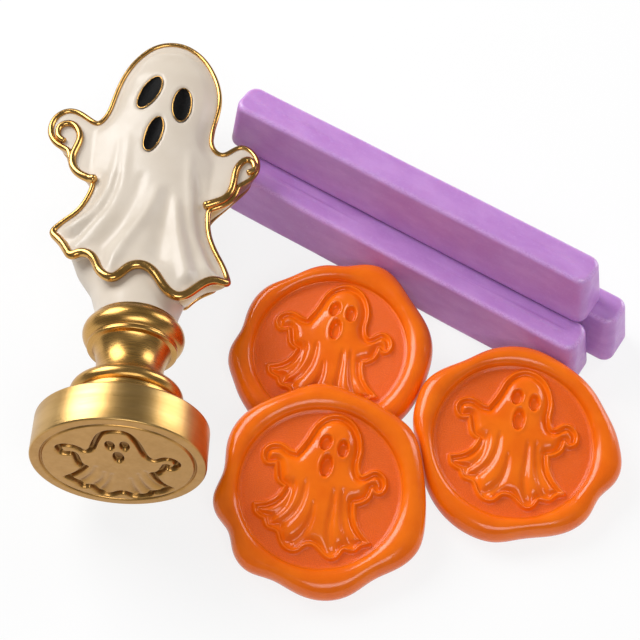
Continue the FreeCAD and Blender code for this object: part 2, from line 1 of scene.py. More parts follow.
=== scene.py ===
import json
import math
import bpy
import numpy as np
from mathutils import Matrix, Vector
from mathutils.geometry import delaunay_2d_cdt


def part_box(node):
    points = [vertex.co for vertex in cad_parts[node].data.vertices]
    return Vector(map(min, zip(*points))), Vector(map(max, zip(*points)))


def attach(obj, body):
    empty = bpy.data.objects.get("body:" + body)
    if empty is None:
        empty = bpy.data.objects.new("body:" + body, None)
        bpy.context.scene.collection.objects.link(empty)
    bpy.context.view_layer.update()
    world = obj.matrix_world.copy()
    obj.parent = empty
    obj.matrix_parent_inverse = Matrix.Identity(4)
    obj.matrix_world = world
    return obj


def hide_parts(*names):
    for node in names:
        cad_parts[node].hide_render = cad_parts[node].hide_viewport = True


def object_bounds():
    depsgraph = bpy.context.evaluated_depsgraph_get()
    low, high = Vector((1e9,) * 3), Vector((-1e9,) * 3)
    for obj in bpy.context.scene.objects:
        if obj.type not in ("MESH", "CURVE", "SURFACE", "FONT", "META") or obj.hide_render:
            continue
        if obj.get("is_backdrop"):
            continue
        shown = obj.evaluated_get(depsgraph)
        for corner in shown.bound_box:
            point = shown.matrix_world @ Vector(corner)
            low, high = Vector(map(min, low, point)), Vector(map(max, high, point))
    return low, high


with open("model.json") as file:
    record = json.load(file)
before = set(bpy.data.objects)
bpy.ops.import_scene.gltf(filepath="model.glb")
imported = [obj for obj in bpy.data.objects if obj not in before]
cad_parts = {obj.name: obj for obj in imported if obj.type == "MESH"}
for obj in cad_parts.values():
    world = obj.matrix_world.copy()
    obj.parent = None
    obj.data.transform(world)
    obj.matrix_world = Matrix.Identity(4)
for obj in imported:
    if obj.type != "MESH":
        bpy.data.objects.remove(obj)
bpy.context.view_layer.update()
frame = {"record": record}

# Shapes are worked out in millimetres and written to the meshes in metres.
MM = 0.001
columns = np.column_stack
JOINTS = {j["name"]: j for j in frame["record"]["behaviour"]["joints"]}

# The stamp's own frame: x to its right, y to its back, z from the engraved face up to the ghost.
FOOT = np.array(JOINTS["head_unscrew"]["pos_m"]) / MM
AXIS = -np.array(JOINTS["head_unscrew"]["axis"])
RIGHT = np.cross(AXIS, (0.0, 0.0, 1.0))
RIGHT /= np.linalg.norm(RIGHT)
FRONT = np.cross(RIGHT, AXIS)
# The set was laid out about one middle, with the stamp's foot at this place; SHIFT leads to that middle.
LAID_FOOT = (-34.0, -32.5)
SHIFT = FOOT - np.array((*LAID_FOOT, FOOT[2]))
STICK_TURN = math.radians(-33.4)


def from_stamp(points):
    # Points of the stamp's own frame, in the frame of the set.
    p = np.asarray(points, float)
    return FOOT + p[:, :1] * RIGHT - p[:, 1:2] * FRONT + p[:, 2:3] * AXIS


def turned(points, axis, angle):
    # Points turned about one of the axes.
    p = np.array(points, float)
    a, b = {"x": (1, 2), "y": (2, 0), "z": (0, 1)}[axis]
    c, s = math.cos(angle), math.sin(angle)
    u, v = p[:, a].copy(), p[:, b].copy()
    p[:, a], p[:, b] = c * u - s * v, s * u + c * v
    return p


def onto(points, node):
    # Moves points so that their box lies on the box of a CAD node.
    low, high = (np.array(c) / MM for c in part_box(node))
    mine_low, mine_high = points.min(0), points.max(0)
    by = (low + high) / 2 - (mine_low + mine_high) / 2
    by[2] = low[2] - mine_low[2]
    return points + by


def cubic(points, step, closed=False):
    # Smooth curve through points, sampled at an even step.
    p = np.array(points, float)
    if closed:
        p = np.vstack([p, p[:1]])
    h = np.linalg.norm(np.diff(p, axis=0), axis=1)
    t = np.concatenate([[0.0], np.cumsum(h)])
    n = len(p)
    a, b = np.zeros((n, n)), np.zeros((n, p.shape[1]))
    for i in range(1, n - 1):
        a[i, i - 1:i + 2] = h[i - 1], 2 * (h[i - 1] + h[i]), h[i]
        b[i] = 6 * ((p[i + 1] - p[i]) / h[i] - (p[i] - p[i - 1]) / h[i - 1])
    a[0, 0] = a[n - 1, n - 1] = 1
    if closed:
        a[0, :2] = 2 * (h[-1] + h[0]), h[0]
        a[0, n - 2] = h[-1]
        b[0] = 6 * ((p[1] - p[0]) / h[0] - (p[0] - p[n - 2]) / h[-1])
        a[n - 1, 0] = -1
    m = np.linalg.solve(a, b)
    s = np.linspace(0, t[-1], max(int(round(t[-1] / step)), 2) + 1)
    i = np.clip(np.searchsorted(t, s, side="right") - 1, 0, n - 2)
    g, e, w = (t[i + 1] - s)[:, None], (s - t[i])[:, None], h[i][:, None]
    start = (p[i] / w - m[i] * w / 6) * g
    end = (p[i + 1] / w - m[i + 1] * w / 6) * e
    return (m[i] * g ** 3 + m[i + 1] * e ** 3) / (6 * w) + start + end


def ease(x, low=0.0, high=1.0):
    # Smooth step from 0 at low to 1 at high.
    t = np.clip((np.asarray(x, float) - low) / (high - low), 0.0, 1.0)
    return t * t * (3 - 2 * t)


def quarter(count):
    # Angles of a quarter turn.
    return np.linspace(0, math.pi / 2, count)


def wobble(x, y, seed):
    # Slow, even unevenness between -1 and 1.
    total = 0.0
    for k in range(1, 5):
        a = seed * 1.7 + k * 2.39
        total = total + np.sin((x * math.cos(a) + y * math.sin(a)) * (0.55 + 0.31 * k) + a * 3.1) / k
    return total / 2.1


def added(name, data):
    # A new object of the scene.
    ob = bpy.data.objects.new(name, data)
    bpy.context.scene.collection.objects.link(ob)
    return ob


def piece(name, points, faces, material, body, nodes=(), slot=None, place=None, index=None, loc=None):
    # A mesh that rides on a body and stands for CAD nodes; loc holds the coordinates that its material reads.
    local = np.asarray(points, float)
    world = local if place is None else place(local)
    mesh = bpy.data.meshes.new(name)
    mesh.from_pydata((world * MM).tolist(), [], faces)
    mesh.polygons.foreach_set("use_smooth", np.ones(len(mesh.polygons), bool))
    spots = mesh.attributes.new("loc", "FLOAT_VECTOR", "POINT")
    spots.data.foreach_set("vector", np.asarray(local if loc is None else loc, np.float32).ravel())
    for m in material if isinstance(material, (list, tuple)) else [material]:
        mesh.materials.append(m)
    if index is not None:
        mesh.polygons.foreach_set("material_index", np.asarray(index, np.int32))
    mesh.validate()
    ob = added(name, mesh)
    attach(ob, body)
    if nodes:
        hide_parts(*nodes)
    return ob


def on_handle(name, shape, material, nodes, slot):
    # A piece of the stamp's handle, given as points of the stamp's own frame and faces.
    return piece(name, *shape, material, "handle", nodes, slot, from_stamp)


def mark(ob, values):
    # Where a surface is grained, engraved or polished, and where its material paints shade or a highlight,
    # for its material.
    grain = ob.data.attributes.new("grain", "FLOAT", "POINT")
    grain.data.foreach_set("value", np.asarray(values, np.float32))


def quads(rows, cols, wrap=False):
    # Faces between the rows of a grid of points.
    out = []
    for r in range(rows - 1):
        for c in range(cols if wrap else cols - 1):
            d = (c + 1) % cols
            out.append((r * cols + c, r * cols + d, (r + 1) * cols + d, (r + 1) * cols + c))
    return out


def ovals(rows, count):
    # Level ovals of (half width, half depth, height), joined one to the next.
    p = np.asarray(rows, float)
    t = np.linspace(0, 2 * math.pi, count, endpoint=False)
    x, y = np.outer(p[:, 0], np.cos(t)), np.outer(p[:, 1], np.sin(t))
    return np.stack([x, y, np.repeat(p[:, 2:], count, 1)], -1).reshape(-1, 3), quads(len(p), count, True)


def lathe(profile, count):
    # Turns (radius, height) points about z.
    return ovals([(r, r, z) for r, z in profile], count)


def add_node(group, kind, ins, props):
    # A node with its properties set and its inputs linked or given; says what it puts out.
    n = group.nodes.new(kind)
    for key, value in props.items():
        setattr(n, key, value)
    for key, value in ins:
        for one in value if isinstance(value, list) else [value]:
            if isinstance(one, bpy.types.NodeSocket):
                group.links.new(one, n.inputs[key])
            else:
                n.inputs[key].default_value = one
    return n.outputs


def tree(name, **inputs):
    # A Geometry Nodes tree: the sockets of its named inputs, a way to add nodes, and a way to close it.
    group = bpy.data.node_groups.new(name, "GeometryNodeTree")
    for label, kind in dict(inputs, Material="Material").items():
        group.interface.new_socket(label, in_out="INPUT", socket_type="NodeSocket" + kind)
    group.interface.new_socket("Shape", in_out="OUTPUT", socket_type="NodeSocketGeometry")
    given = group.nodes.new("NodeGroupInput").outputs

    def node(kind, ins, **props):
        return add_node(group, "GeometryNode" + kind, ins.items(), props)[0]

    def close(shape):
        whole = node("RealizeInstances", {"Geometry": shape})
        whole = node("SetMaterial", {"Geometry": whole, "Material": given["Material"]})
        group.links.new(whole, group.nodes.new("NodeGroupOutput").inputs[0])
        return group

    return given, node, close


def bead_tree():
    # A round bead along a line of edges, as thick as the points of the line say.
    given, node, close = tree("gilt_bead", Line="Geometry", Sides="Int")
    curve = node("MeshToCurve", {"Mesh": given["Line"]})
    thick = node("InputNamedAttribute", {"Name": "thick"}, data_type="FLOAT")
    ring = node("CurvePrimitiveCircle", {"Resolution": given["Sides"], "Radius": 1.0}, mode="RADIUS")
    return close(node("CurveToMesh", {"Curve": curve, "Profile Curve": ring, "Scale": thick,
                                      "Fill Caps": True}))


def thread_tree():
    # A plain core with one helical ridge wound round it.
    given, node, close = tree("threaded_rod", Turns="Float", Wound="Float", Length="Float", Core="Float",
                              Ridge="Float", Middle="Vector")
    helix = node("CurveSpiral", {"Resolution": 36, "Rotations": given["Turns"], "Start Radius": given["Core"],
                                 "End Radius": given["Core"], "Height": given["Wound"]})
    helix = node("SetCurveNormal", {"Curve": helix}, mode="Z_UP")
    section = node("CurvePrimitiveCircle", {"Resolution": 8, "Radius": given["Ridge"]}, mode="RADIUS")
    ridge = node("CurveToMesh", {"Curve": helix, "Profile Curve": section, "Fill Caps": True})
    core = node("MeshCylinder", {"Vertices": 48, "Radius": given["Core"], "Depth": given["Length"]})
    core = node("Transform", {"Geometry": core, "Translation": given["Middle"]})
    return close(node("JoinGeometry", {"Geometry": [ridge, core]}))


def grown(group, material, line=(), thick=0.0, closed=False, **sizes):
    # The plain mesh that a tree makes of its inputs, as points and faces.
    count = len(line)
    steps = count if closed else count - 1
    base = bpy.data.meshes.new(group.name)
    base.from_pydata([tuple(p) for p in line], [(i, (i + 1) % count) for i in range(steps)], [])
    widths = base.attributes.new("thick", "FLOAT", "POINT")
    widths.data.foreach_set("value", np.broadcast_to(thick, count).astype(np.float32))
    ob = added(group.name, base)
    change = ob.modifiers.new(group.name, "NODES")
    change.node_group = group
    for item in group.interface.items_tree:
        if item.in_out == "INPUT" and item.name in sizes:
            change[item.identifier] = sizes[item.name]
        elif item.name == "Material":
            change[item.identifier] = material
    mesh = bpy.data.meshes.new_from_object(ob.evaluated_get(bpy.context.evaluated_depsgraph_get()))
    ob.modifiers.remove(change)
    pts = np.array([v.co for v in mesh.vertices], float)
    faces = [tuple(p.vertices) for p in mesh.polygons]
    bpy.data.objects.remove(ob)
    bpy.data.meshes.remove(base)
    bpy.data.meshes.remove(mesh)
    return pts, faces


def domed(path, radius):
    # Carries a line on past both ends with shrinking widths, so that its bead ends round.
    reach, share = np.array([0.3, 0.52, 0.66]), np.array([0.94, 0.76, 0.45])
    back_on, ahead_on = path[0] - path[1], path[-1] - path[-2]
    head = path[0] + back_on / np.linalg.norm(back_on) * radius[0] * reach[::-1, None]
    tail = path[-1] + ahead_on / np.linalg.norm(ahead_on) * radius[-1] * reach[:, None]
    widths = np.concatenate([radius[0] * share[::-1], radius, radius[-1] * share])
    return np.vstack([head, path, tail]), widths


def joined(parts):
    # One mesh of several.
    pts, faces, at = [], [], 0
    for p, f in parts:
        pts.append(p)
        faces += [tuple(i + at for i in q) for q in f]
        at += len(p)
    return np.vstack(pts), faces


def flat_distance(points, path):
    # Distance from 2-D points to a closed or open path, and whether each point is inside the closed one.
    a, b = path[:-1], path[1:]
    ab = b - a
    near, inside = [], []
    for chunk in np.array_split(points, max(1, len(points) // 3000)):
        ap = chunk[:, None] - a[None]
        t = np.clip((ap * ab).sum(-1) / ((ab * ab).sum(-1) + 1e-12), 0, 1)
        near.append(np.sqrt((((ap - t[..., None] * ab)) ** 2).sum(-1)).min(1))
        y = chunk[:, 1:2]
        over = (a[:, 1] > y) != (b[:, 1] > y)
        cross = a[:, 0] + (y - a[:, 1]) * ab[:, 0] / np.where(ab[:, 1] == 0, 1e-12, ab[:, 1])
        inside.append((over & (chunk[:, :1] < cross)).sum(1) % 2 == 1)
    return np.concatenate(near), np.concatenate(inside)


class Sock:
    # A shader socket that can be added, multiplied and fed to further nodes.
    def __init__(self, tree, out):
        self.tree, self.out = tree, out

    def node(self, kind, ins=(), out=0, **props):
        pairs = ins.items() if isinstance(ins, dict) else enumerate(ins)
        plain = [(key, value.out if isinstance(value, Sock) else value) for key, value in pairs]
        return Sock(self.tree, add_node(self.tree, "ShaderNode" + kind, plain, props)[out])

    def calc(self, op, *others):
        return self.node("Math", (self,) + others, operation=op)

    def __add__(self, other):
        return self.calc("ADD", other)

    def __sub__(self, other):
        return self.calc("SUBTRACT", other)

    def __mul__(self, other):
        return self.calc("MULTIPLY", other)

    def __rsub__(self, other):
        return self.node("Math", (other, self), operation="SUBTRACT")

    __radd__, __rmul__ = __add__, __mul__

    def step(self, low, high, a=0.0, b=1.0):
        return self.node("MapRange", {0: self, 1: low, 2: high, 3: a, 4: b}, interpolation_type="SMOOTHSTEP")

    def mix(self, one, two):
        return self.node("Mix", {0: self, 6: one, 7: two}, out=2, data_type="RGBA")

    def noise(self, scale, detail=2.0, rough=0.5):
        return self.node("TexNoise", {"Vector": self, "Scale": scale, "Detail": detail, "Roughness": rough})

    def parts(self):
        split = self.node("SeparateXYZ", (self,)).out.node
        return [Sock(self.tree, out) for out in split.outputs]

    def vector(self, y, z):
        return self.node("CombineXYZ", (self, y, z))

    def marked(self):
        return self.node("Attribute", attribute_name="grain", out=2)


def shader(name, **fixed):
    # A material with its principled shader and the millimetre coordinates of the piece.
    mat = bpy.data.materials.new(name)
    mat.use_nodes = True
    tree = mat.node_tree
    core = tree.nodes["Principled BSDF"]
    for key, value in fixed.items():
        core.inputs[key.replace("_", " ")].default_value = value
    spot = Sock(tree, tree.nodes.new("ShaderNodeAttribute").outputs["Vector"])
    spot.out.node.attribute_name = "loc"

    def put(socket, value):
        tree.links.new(value.out, core.inputs[socket])

    def bump(height, depth, strength=1.0):
        put("Normal", height.node("Bump", {"Strength": strength, "Distance": depth * MM, "Height": height}))

    return mat, spot, put, bump


def rgb(r, g, b):
    return (r, g, b, 1.0)


# The pressed ghost, as shares of its field's radius. Each run begins where the one before it ends.
EMBLEM_RUNS = [
    [(-0.157, 0.618), (-0.056, 0.777), (0.056, 0.876), (0.176, 0.916), (0.315, 0.886),
     (0.435, 0.781), (0.5, 0.608), (0.5, 0.428), (0.465, 0.259), (0.509, 0.139), (0.593, 0.171),
     (0.685, 0.199), (0.769, 0.143), (0.8, 0.036), (0.759, -0.056), (0.685, -0.074), (0.639, -0.02)],
    [(0.593, -0.12), (0.509, -0.183), (0.417, -0.203)],
    [(0.417, -0.378), (0.472, -0.538), (0.583, -0.687)],
    [(0.481, -0.713), (0.398, -0.769), (0.278, -0.753), (0.204, -0.833), (0.12, -0.867),
     (0.028, -0.807), (-0.074, -0.707), (-0.185, -0.697), (-0.287, -0.767), (-0.389, -0.757),
     (-0.481, -0.647), (-0.531, -0.528), (-0.63, -0.484), (-0.676, -0.378)],
    [(-0.787, -0.289), (-0.796, -0.195)],
    [(-0.639, -0.173), (-0.5, -0.09), (-0.426, 0.02)],
    [(-0.509, 0.096), (-0.528, 0.209), (-0.537, 0.315)],
    [(-0.648, 0.315), (-0.694, 0.398), (-0.667, 0.502), (-0.565, 0.554), (-0.454, 0.534),
     (-0.37, 0.472), (-0.296, 0.444)],
]
# Eyes and mouth: place, half width, half height and lean in degrees.
EMBLEM_OVALS = [
    (0.074, 0.558, 0.075, 0.106, 22), (0.283, 0.478, 0.07, 0.112, 8), (0.076, 0.263, 0.078, 0.15, 12)]
# Valleys between the folds of the little sheet, from the chest down to the hem.
EMBLEM_FOLDS = [
    [(-0.31, 0.14), (-0.35, -0.08), (-0.47, -0.28), (-0.64, -0.38)],
    [(-0.16, 0.14), (-0.21, -0.12), (-0.34, -0.34), (-0.55, -0.48)],
    [(-0.07, -0.14), (-0.12, -0.4), (-0.23, -0.58), (-0.38, -0.68)],
    [(0.18, 0.02), (0.14, -0.28), (0.1, -0.58), (0.14, -0.78)],
    [(0.29, 0.02), (0.27, -0.28), (0.31, -0.58), (0.38, -0.74)],
]


def chained(runs):
    # The runs with their first points, which are the last points of the runs before.
    return [[before[-1]] + run for before, run in zip(runs[-1:] + runs[:-1], runs)]


def runs_path(runs, step):
    # Closed path of smooth runs that meet in corners.
    rows = [cubic(r, step)[:-1] for r in chained(runs)]
    return np.vstack(rows + [rows[0][:1]])


EMBLEM_PATH = runs_path(EMBLEM_RUNS, 0.018)


def oval_edge(xy, x, y, wide, high, lean):
    # Rough distance outside an oval's edge, in its own units.
    a = math.radians(lean)
    u, v = xy[:, 0] - x, xy[:, 1] - y
    u, v = u * math.cos(a) - v * math.sin(a), u * math.sin(a) + v * math.cos(a)
    q = np.sqrt((u / wide) ** 2 + (v / high) ** 2)
    return (q - 1) * min(wide, high)


def strokes(xy, paths, narrow, broad):
    # Soft grooves that widen and deepen along each stroke.
    total = np.zeros(len(xy))
    for path in paths:
        p = cubic(path, narrow / 2)
        d = np.sqrt(((xy[:, None] - p[None]) ** 2).sum(-1))
        t = d.argmin(1) / (len(p) - 1)
        w = narrow + (broad - narrow) * t
        total = np.maximum(total, np.exp(-(d.min(1) / w) ** 2) * (0.3 + 0.7 * t) * ease(t, 0, 0.15))
    return total


# The pressed outline's height, half width and groove, and how far body, crown and folds rise or sink.
CORD_RISE, CORD_HALF, CORD_GROOVE = 0.74, 0.36, 0.62
BODY_RISE, CROWN_RISE, FOLD_SINK = 0.95, 0.4, 0.85


def emblem_relief(xy, radius):
    # How high the pressed ghost stands on the field, and how far each point lies inside its outline.
    d, inside = flat_distance(xy, EMBLEM_PATH)
    d = np.where(inside, d, -d) * radius
    low = ease(-xy[:, 1], 0.35, 0.62)
    cord = CORD_RISE * np.exp(-(d / CORD_HALF) ** 2)
    inner = np.maximum(d - CORD_GROOVE + 0.25 * low, 0)
    body = BODY_RISE * (1 - np.exp(-(inner / 0.75) ** 1.5)) + CROWN_RISE * (1 - np.exp(-inner / 2.6))
    body = body - FOLD_SINK * strokes(xy, EMBLEM_FOLDS, 0.026, 0.062) * ease(d, 0.2, 1.4)
    for oval in EMBLEM_OVALS:
        e = oval_edge(xy, *oval) * radius
        body = body - (body - 0.12) * ease(-e, -0.12, 0.42) + 0.1 * np.exp(-((e - 0.2) / 0.25) ** 2)
    return np.maximum(cord, body) + 0.15 * np.minimum(cord, body), d


def disc_grid(k):
    # Even grid over a round disc of radius 1, its faces, and its boundary in turning order.
    u = np.linspace(-1, 1, k)
    a, b = [m.ravel() for m in np.meshgrid(u, u)]
    wide = np.abs(a) > np.abs(b)
    r = np.where(wide, a, b)
    with np.errstate(divide="ignore", invalid="ignore"):
        t = np.where(wide, math.pi / 4 * b / a, math.pi / 2 - math.pi / 4 * a / b)
    t = np.nan_to_num(t)
    i = np.arange(k)
    edge = np.concatenate([i[:-1], (k - 1) + k * i[:-1], k * k - 1 - i[:-1], k * (k - 1) - k * i[:-1]])
    return np.stack([r * np.cos(t), r * np.sin(t)], -1), quads(k, k), edge


def skirt(edge, way, start, rows):
    # Rings of (radius, height) that follow a disc's edge: their points, numbered from start, and their faces.
    m, faces = len(edge), []
    pts = [columns([way * np.broadcast_to(r, m)[:, None], np.broadcast_to(z, m)]) for r, z in rows]
    ring = [edge] + [np.arange(m) + start + i * m for i in range(len(rows))]
    for low, high in zip(ring, ring[1:]):
        faces += columns([low, high, np.roll(high, -1), np.roll(low, -1)]).tolist()
    return pts, faces


# A seal's pressed field with its height and lip; the heights of its rim and belly, and the draw of its foot.
FIELD, FIELD_HEIGHT, LIP = 14.2, 2.9, 0.25
SEAL_TOP, SEAL_BELLY, SEAL_FOOT = 4.8, 1.9, 1.5
# The rim's unevenness, where its crest lies between field and outline, and how far that wanders.
RIM_UNEVEN, RIM_CREST, RIM_DRIFT = 0.13, 0.44, 0.05
# Body, radius, spin, roll and lean in degrees, whether turned with the sticks, and outline in radii.
SEALS = {
    "seal_back": ("back_seal", 18.6, 33, 0, 8, True, [
        (1.014, 0.016), (0.978, 0.225), (0.893, 0.403), (0.807, 0.556), (0.7, 0.749), (0.543, 0.91),
        (0.357, 0.958), (0.171, 0.942), (-0.029, 0.96), (-0.229, 0.918), (-0.428, 0.829), (-0.621, 0.754),
        (-0.771, 0.612), (-0.854, 0.419), (-0.903, 0.25), (-0.997, 0.081), (-1.021, -0.072), (-0.971, -0.258),
        (-0.914, -0.419), (-0.828, -0.58), (-0.7, -0.757), (-0.471, -0.926), (-0.186, -1.007),
        (0.143, -1.007), (0.428, -0.902), (0.7, -0.725), (0.886, -0.451), (0.978, -0.209)]),
    "seal_right": ("right_seal", 18.4, 33, 6, 8, True, [
        (1.037, -0.092), (0.996, 0.125), (0.922, 0.308), (0.806, 0.541), (0.642, 0.724), (0.444, 0.87),
        (0.23, 0.97), (-0.016, 0.99), (-0.23, 0.94), (-0.444, 0.837), (-0.683, 0.737), (-0.839, 0.604),
        (-0.922, 0.416), (-0.958, 0.191), (-0.913, -0.092), (-0.872, -0.358), (-0.773, -0.607),
        (-0.634, -0.782), (-0.444, -0.915), (-0.214, -0.98), (0.049, -0.947), (0.329, -0.917), (0.56, -0.84),
        (0.699, -0.715), (0.806, -0.544), (0.946, -0.416), (1.029, -0.266)]),
    "seal_front": ("front_seal", 18.8, 0, 0, 12, False, [
        (0.974, -0.03), (0.953, 0.241), (0.855, 0.573), (0.68, 0.731), (0.47, 0.86), (0.259, 0.958),
        (0.007, 1.025), (-0.231, 0.968), (-0.512, 0.857), (-0.771, 0.664), (-0.876, 0.407), (-0.901, 0.166),
        (-0.988, -0.075), (-0.946, -0.249), (-0.845, -0.392), (-0.799, -0.573), (-0.666, -0.754),
        (-0.456, -0.832), (-0.231, -0.953), (0.035, -1.025), (0.273, -0.973), (0.484, -0.837),
        (0.722, -0.724), (0.89, -0.573), (0.963, -0.332)]),
}


def seal_mesh(outline, radius, seed):
    # Pressed disc, rounded rim and flat underside, and where the wax is grained.
    disc, faces, edge = disc_grid(190)
    lift, d = emblem_relief(disc, FIELD)
    r = np.hypot(*disc.T)
    z = FIELD_HEIGHT + lift * ease(1 - r, 0.0, 0.05) + LIP * ease(r, 0.95, 1.0)
    path = cubic(outline, 0.01, True) * radius
    angle = np.unwrap(np.arctan2(path[:, 1], path[:, 0]))
    t = np.arctan2(disc[edge, 1], disc[edge, 0])
    reach = np.interp(np.mod(t - angle[0], 2 * math.pi), angle - angle[0], np.hypot(*path.T))
    way = columns([np.cos(t), np.sin(t)])
    top = SEAL_TOP + RIM_UNEVEN * wobble(*way.T * 5, seed)
    mid = FIELD + (RIM_CREST + RIM_DRIFT * wobble(*way.T * 4, seed + 3)) * (reach - FIELD)
    base, rows = FIELD_HEIGHT + LIP, []
    for s in quarter(12)[1:]:
        rows.append((FIELD + (mid - FIELD) * (1 - math.cos(s)), base + (top - base) * math.sin(s)))
    for s in quarter(14)[1:]:
        rows.append((mid + (reach - mid) * math.sin(s), SEAL_BELLY + (top - SEAL_BELLY) * math.cos(s)))
    for s in quarter(8)[1:]:
        rows.append((reach - SEAL_FOOT * (1 - math.cos(s)), SEAL_BELLY * (1 - math.sin(s))))
    rings, sides = skirt(edge, way, len(disc), rows)
    pts = np.vstack([columns([disc * FIELD, z]), *rings, np.zeros((1, 3))])
    last, m = len(pts) - 1, len(edge)
    faces += sides + [(last - m + i, last, last - m + (i + 1) % m) for i in range(m)]
    grain = np.zeros(len(pts))
    grain[:len(disc)] = ease(-d, 0.2, 0.7) * ease(1 - r, 0.0, 0.03)
    return pts, faces, grain


def round_box(wide, deep, corner, counts):
    # Outline of a rounded rectangle, with the same number of points at every size.
    along, across, turn = counts
    pts = []
    for n, (sx, sy) in zip((along, across, along, across), ((1, 1), (-1, 1), (-1, -1), (1, -1))):
        t = quarter(turn) + math.atan2(sy, sx) - math.pi / 4
        x, y = sx * (wide - corner) + corner * np.cos(t), sy * (deep - corner) + corner * np.sin(t)
        pts.append(columns([x, y]))
        last = pts[-1][-1]
        goal = last * (-1, 1) if n == along else last * (1, -1)
        pts.append(last + (goal - last) * np.linspace(0, 1, n + 2)[1:-1, None])
    return np.vstack(pts)


STICK_HALF_LENGTH, STICK_LENGTH_DRAFT = 39.3, 1.6
STICK_HALF_WIDTH, STICK_WIDTH_DRAFT = 4.4, 1.15
STICK_HEIGHT, STICK_EDGE, STICK_CREST, STICK_CORNER = 11.5, 1.5, 0.95, 2.2
# Rings of points on the underside and on the top, by their distance from the edge.
UNDER_INSETS, TOP_INSETS = (4.3, 3.6, 2.8, 2.1), (1.4, 1.9, 2.5, 3.05)


def bar_mesh(seed):
    # Drafted bar of poured wax, rounded at its corners and along its edges, and how polished each point is;
    # the same marks paint a lighter highlight along the top edges.
    edge, crest, height, counts = STICK_EDGE, STICK_CREST, STICK_HEIGHT, (96, 8, 8)
    arc = quarter(9)
    rings = [(inset, 0.0) for inset in UNDER_INSETS]
    rings += [(edge * (1 - math.sin(s)), edge * (1 - math.cos(s))) for s in arc]
    rings += [(0.0, z) for z in np.linspace(edge, height - crest, 14)[1:-1]]
    # Polish along the top edges, which the material also paints as a lighter highlight.
    polish_and_painted_highlight = np.zeros(len(rings) + 13)
    polish_and_painted_highlight[len(rings):len(rings) + 9] = np.exp(-((arc - 0.8) / 0.42) ** 2)
    rings += [(crest * (1 - math.cos(s)), height - crest * (1 - math.sin(s))) for s in arc]
    rings += [(inset, height) for inset in TOP_INSETS]
    rows = []
    for inset, z in rings:
        wide = STICK_HALF_LENGTH - STICK_LENGTH_DRAFT * z / height - inset
        deep = STICK_HALF_WIDTH - STICK_WIDTH_DRAFT * z / height - inset
        line = round_box(wide, deep, min(max(STICK_CORNER - inset, 0.15), deep * 0.98), counts)
        rows.append(columns([line, np.full(len(line), z)]))
    n = len(rows[0])
    p, faces = np.vstack(rows), quads(len(rows), n, True)
    mid = len(p)
    faces += [(mid, (c + 1) % n, c) for c in range(n)]
    faces += [(mid + 1, mid - n + c, mid - n + (c + 1) % n) for c in range(n)]
    p = np.vstack([p, (0, 0, 0), (0, 0, height)])
    rise = p[:, 2] / height
    p[:, 1] += 0.05 * wobble(p[:, 0] * 0.25, p[:, 2] * 0.3, seed) * (1 - 0.4 * rise)
    p[:, 2] += 0.1 * wobble(p[:, 0] * 0.22, p[:, 1] * 0.3, seed + 5) * ease(rise, 0.5, 1.0)
    return p, faces, np.append(np.repeat(polish_and_painted_highlight, n), (0.0, 0.0))


# Materials. Every one reads the piece's own millimetre coordinates.
def orange_material():
    mat, spot, put, bump = shader("orange_wax", IOR=1.46, Specular_IOR_Level=0.34, Coat_Weight=0.22,
                                  Coat_Roughness=0.08)
    grain = spot.marked()
    slow = spot.noise(0.16, 3.0).step(0.35, 0.68)
    tone = slow.mix(rgb(0.86, 0.14, 0.002), rgb(0.93, 0.175, 0.004))
    fine = spot.noise(5.5, 3.0, 0.65)
    grained = fine.step(0.42, 0.62).mix(rgb(0.78, 0.105, 0.002), rgb(0.9, 0.145, 0.006))
    put("Base Color", grain.mix(tone, grained))
    gloss = spot.noise(0.7, 3.0).step(0.3, 0.7, 0.15, 0.24)
    put("Roughness", grain * fine.step(0.4, 0.64, 0.28, 0.08) + gloss)
    bump(grain * fine * 1.8 + spot.noise(0.55, 2.0) * 0.9, 0.05)
    return mat


def purple_material():
    mat, spot, put, bump = shader("purple_wax", Subsurface_Weight=0.12, Subsurface_Scale=0.002, IOR=1.46,
                                  Coat_Roughness=0.16)
    x, y, z = spot.parts()
    flow = (x * 0.3).vector(y * 0.8, z * 0.8)
    cloud = flow.noise(0.45, 4.0, 0.6).step(0.3, 0.72)
    fleck = spot.noise(2.4, 4.0, 0.75).step(0.52, 0.7)
    glint = spot.marked() * spot.noise(4.5, 2.0).step(0.32, 0.58)
    tone = cloud.mix(rgb(0.495, 0.225, 0.6), rgb(0.565, 0.285, 0.665))
    tone = (fleck * 0.42).mix(tone, rgb(0.63, 0.39, 0.74))
    # Painted highlight: along the marked top edges the colour turns light lilac; the extra coat there is real
    # gloss.
    put("Base Color", (glint * 0.6).mix(tone, rgb(0.8, 0.5, 0.93)))
    put("Roughness", spot.noise(0.8, 4.0).step(0.3, 0.7, 0.3, 0.44) - fleck * 0.08)
    put("Coat Weight", glint * 0.85 + fleck * 0.12)
    bump(spot.noise(0.5, 3.0) * 1.5 + spot.noise(4.0, 2.0) * 0.25, 0.05)
    return mat


ORANGE, PURPLE = orange_material(), purple_material()
# Steps between the pattern coordinates of like pieces, so that no two of them look the same.
SEAL_APART, STICK_APART = 60.0, 80.0

for number, (node, (body, radius, spin, roll, lean, with_sticks, outline)) in enumerate(SEALS.items()):
    pts, faces, grain = seal_mesh(outline, radius, number + 1)
    placed = turned(turned(pts, "z", math.radians(spin)), "y", math.radians(roll))
    placed = turned(placed, "x", math.radians(lean))
    placed = onto(turned(placed, "z", STICK_TURN) if with_sticks else placed, node)
    apart = pts + SEAL_APART * number
    ob = piece(node + "_wax", placed, faces, ORANGE, body, [node], "orange_wax", loc=apart)
    mark(ob, grain)

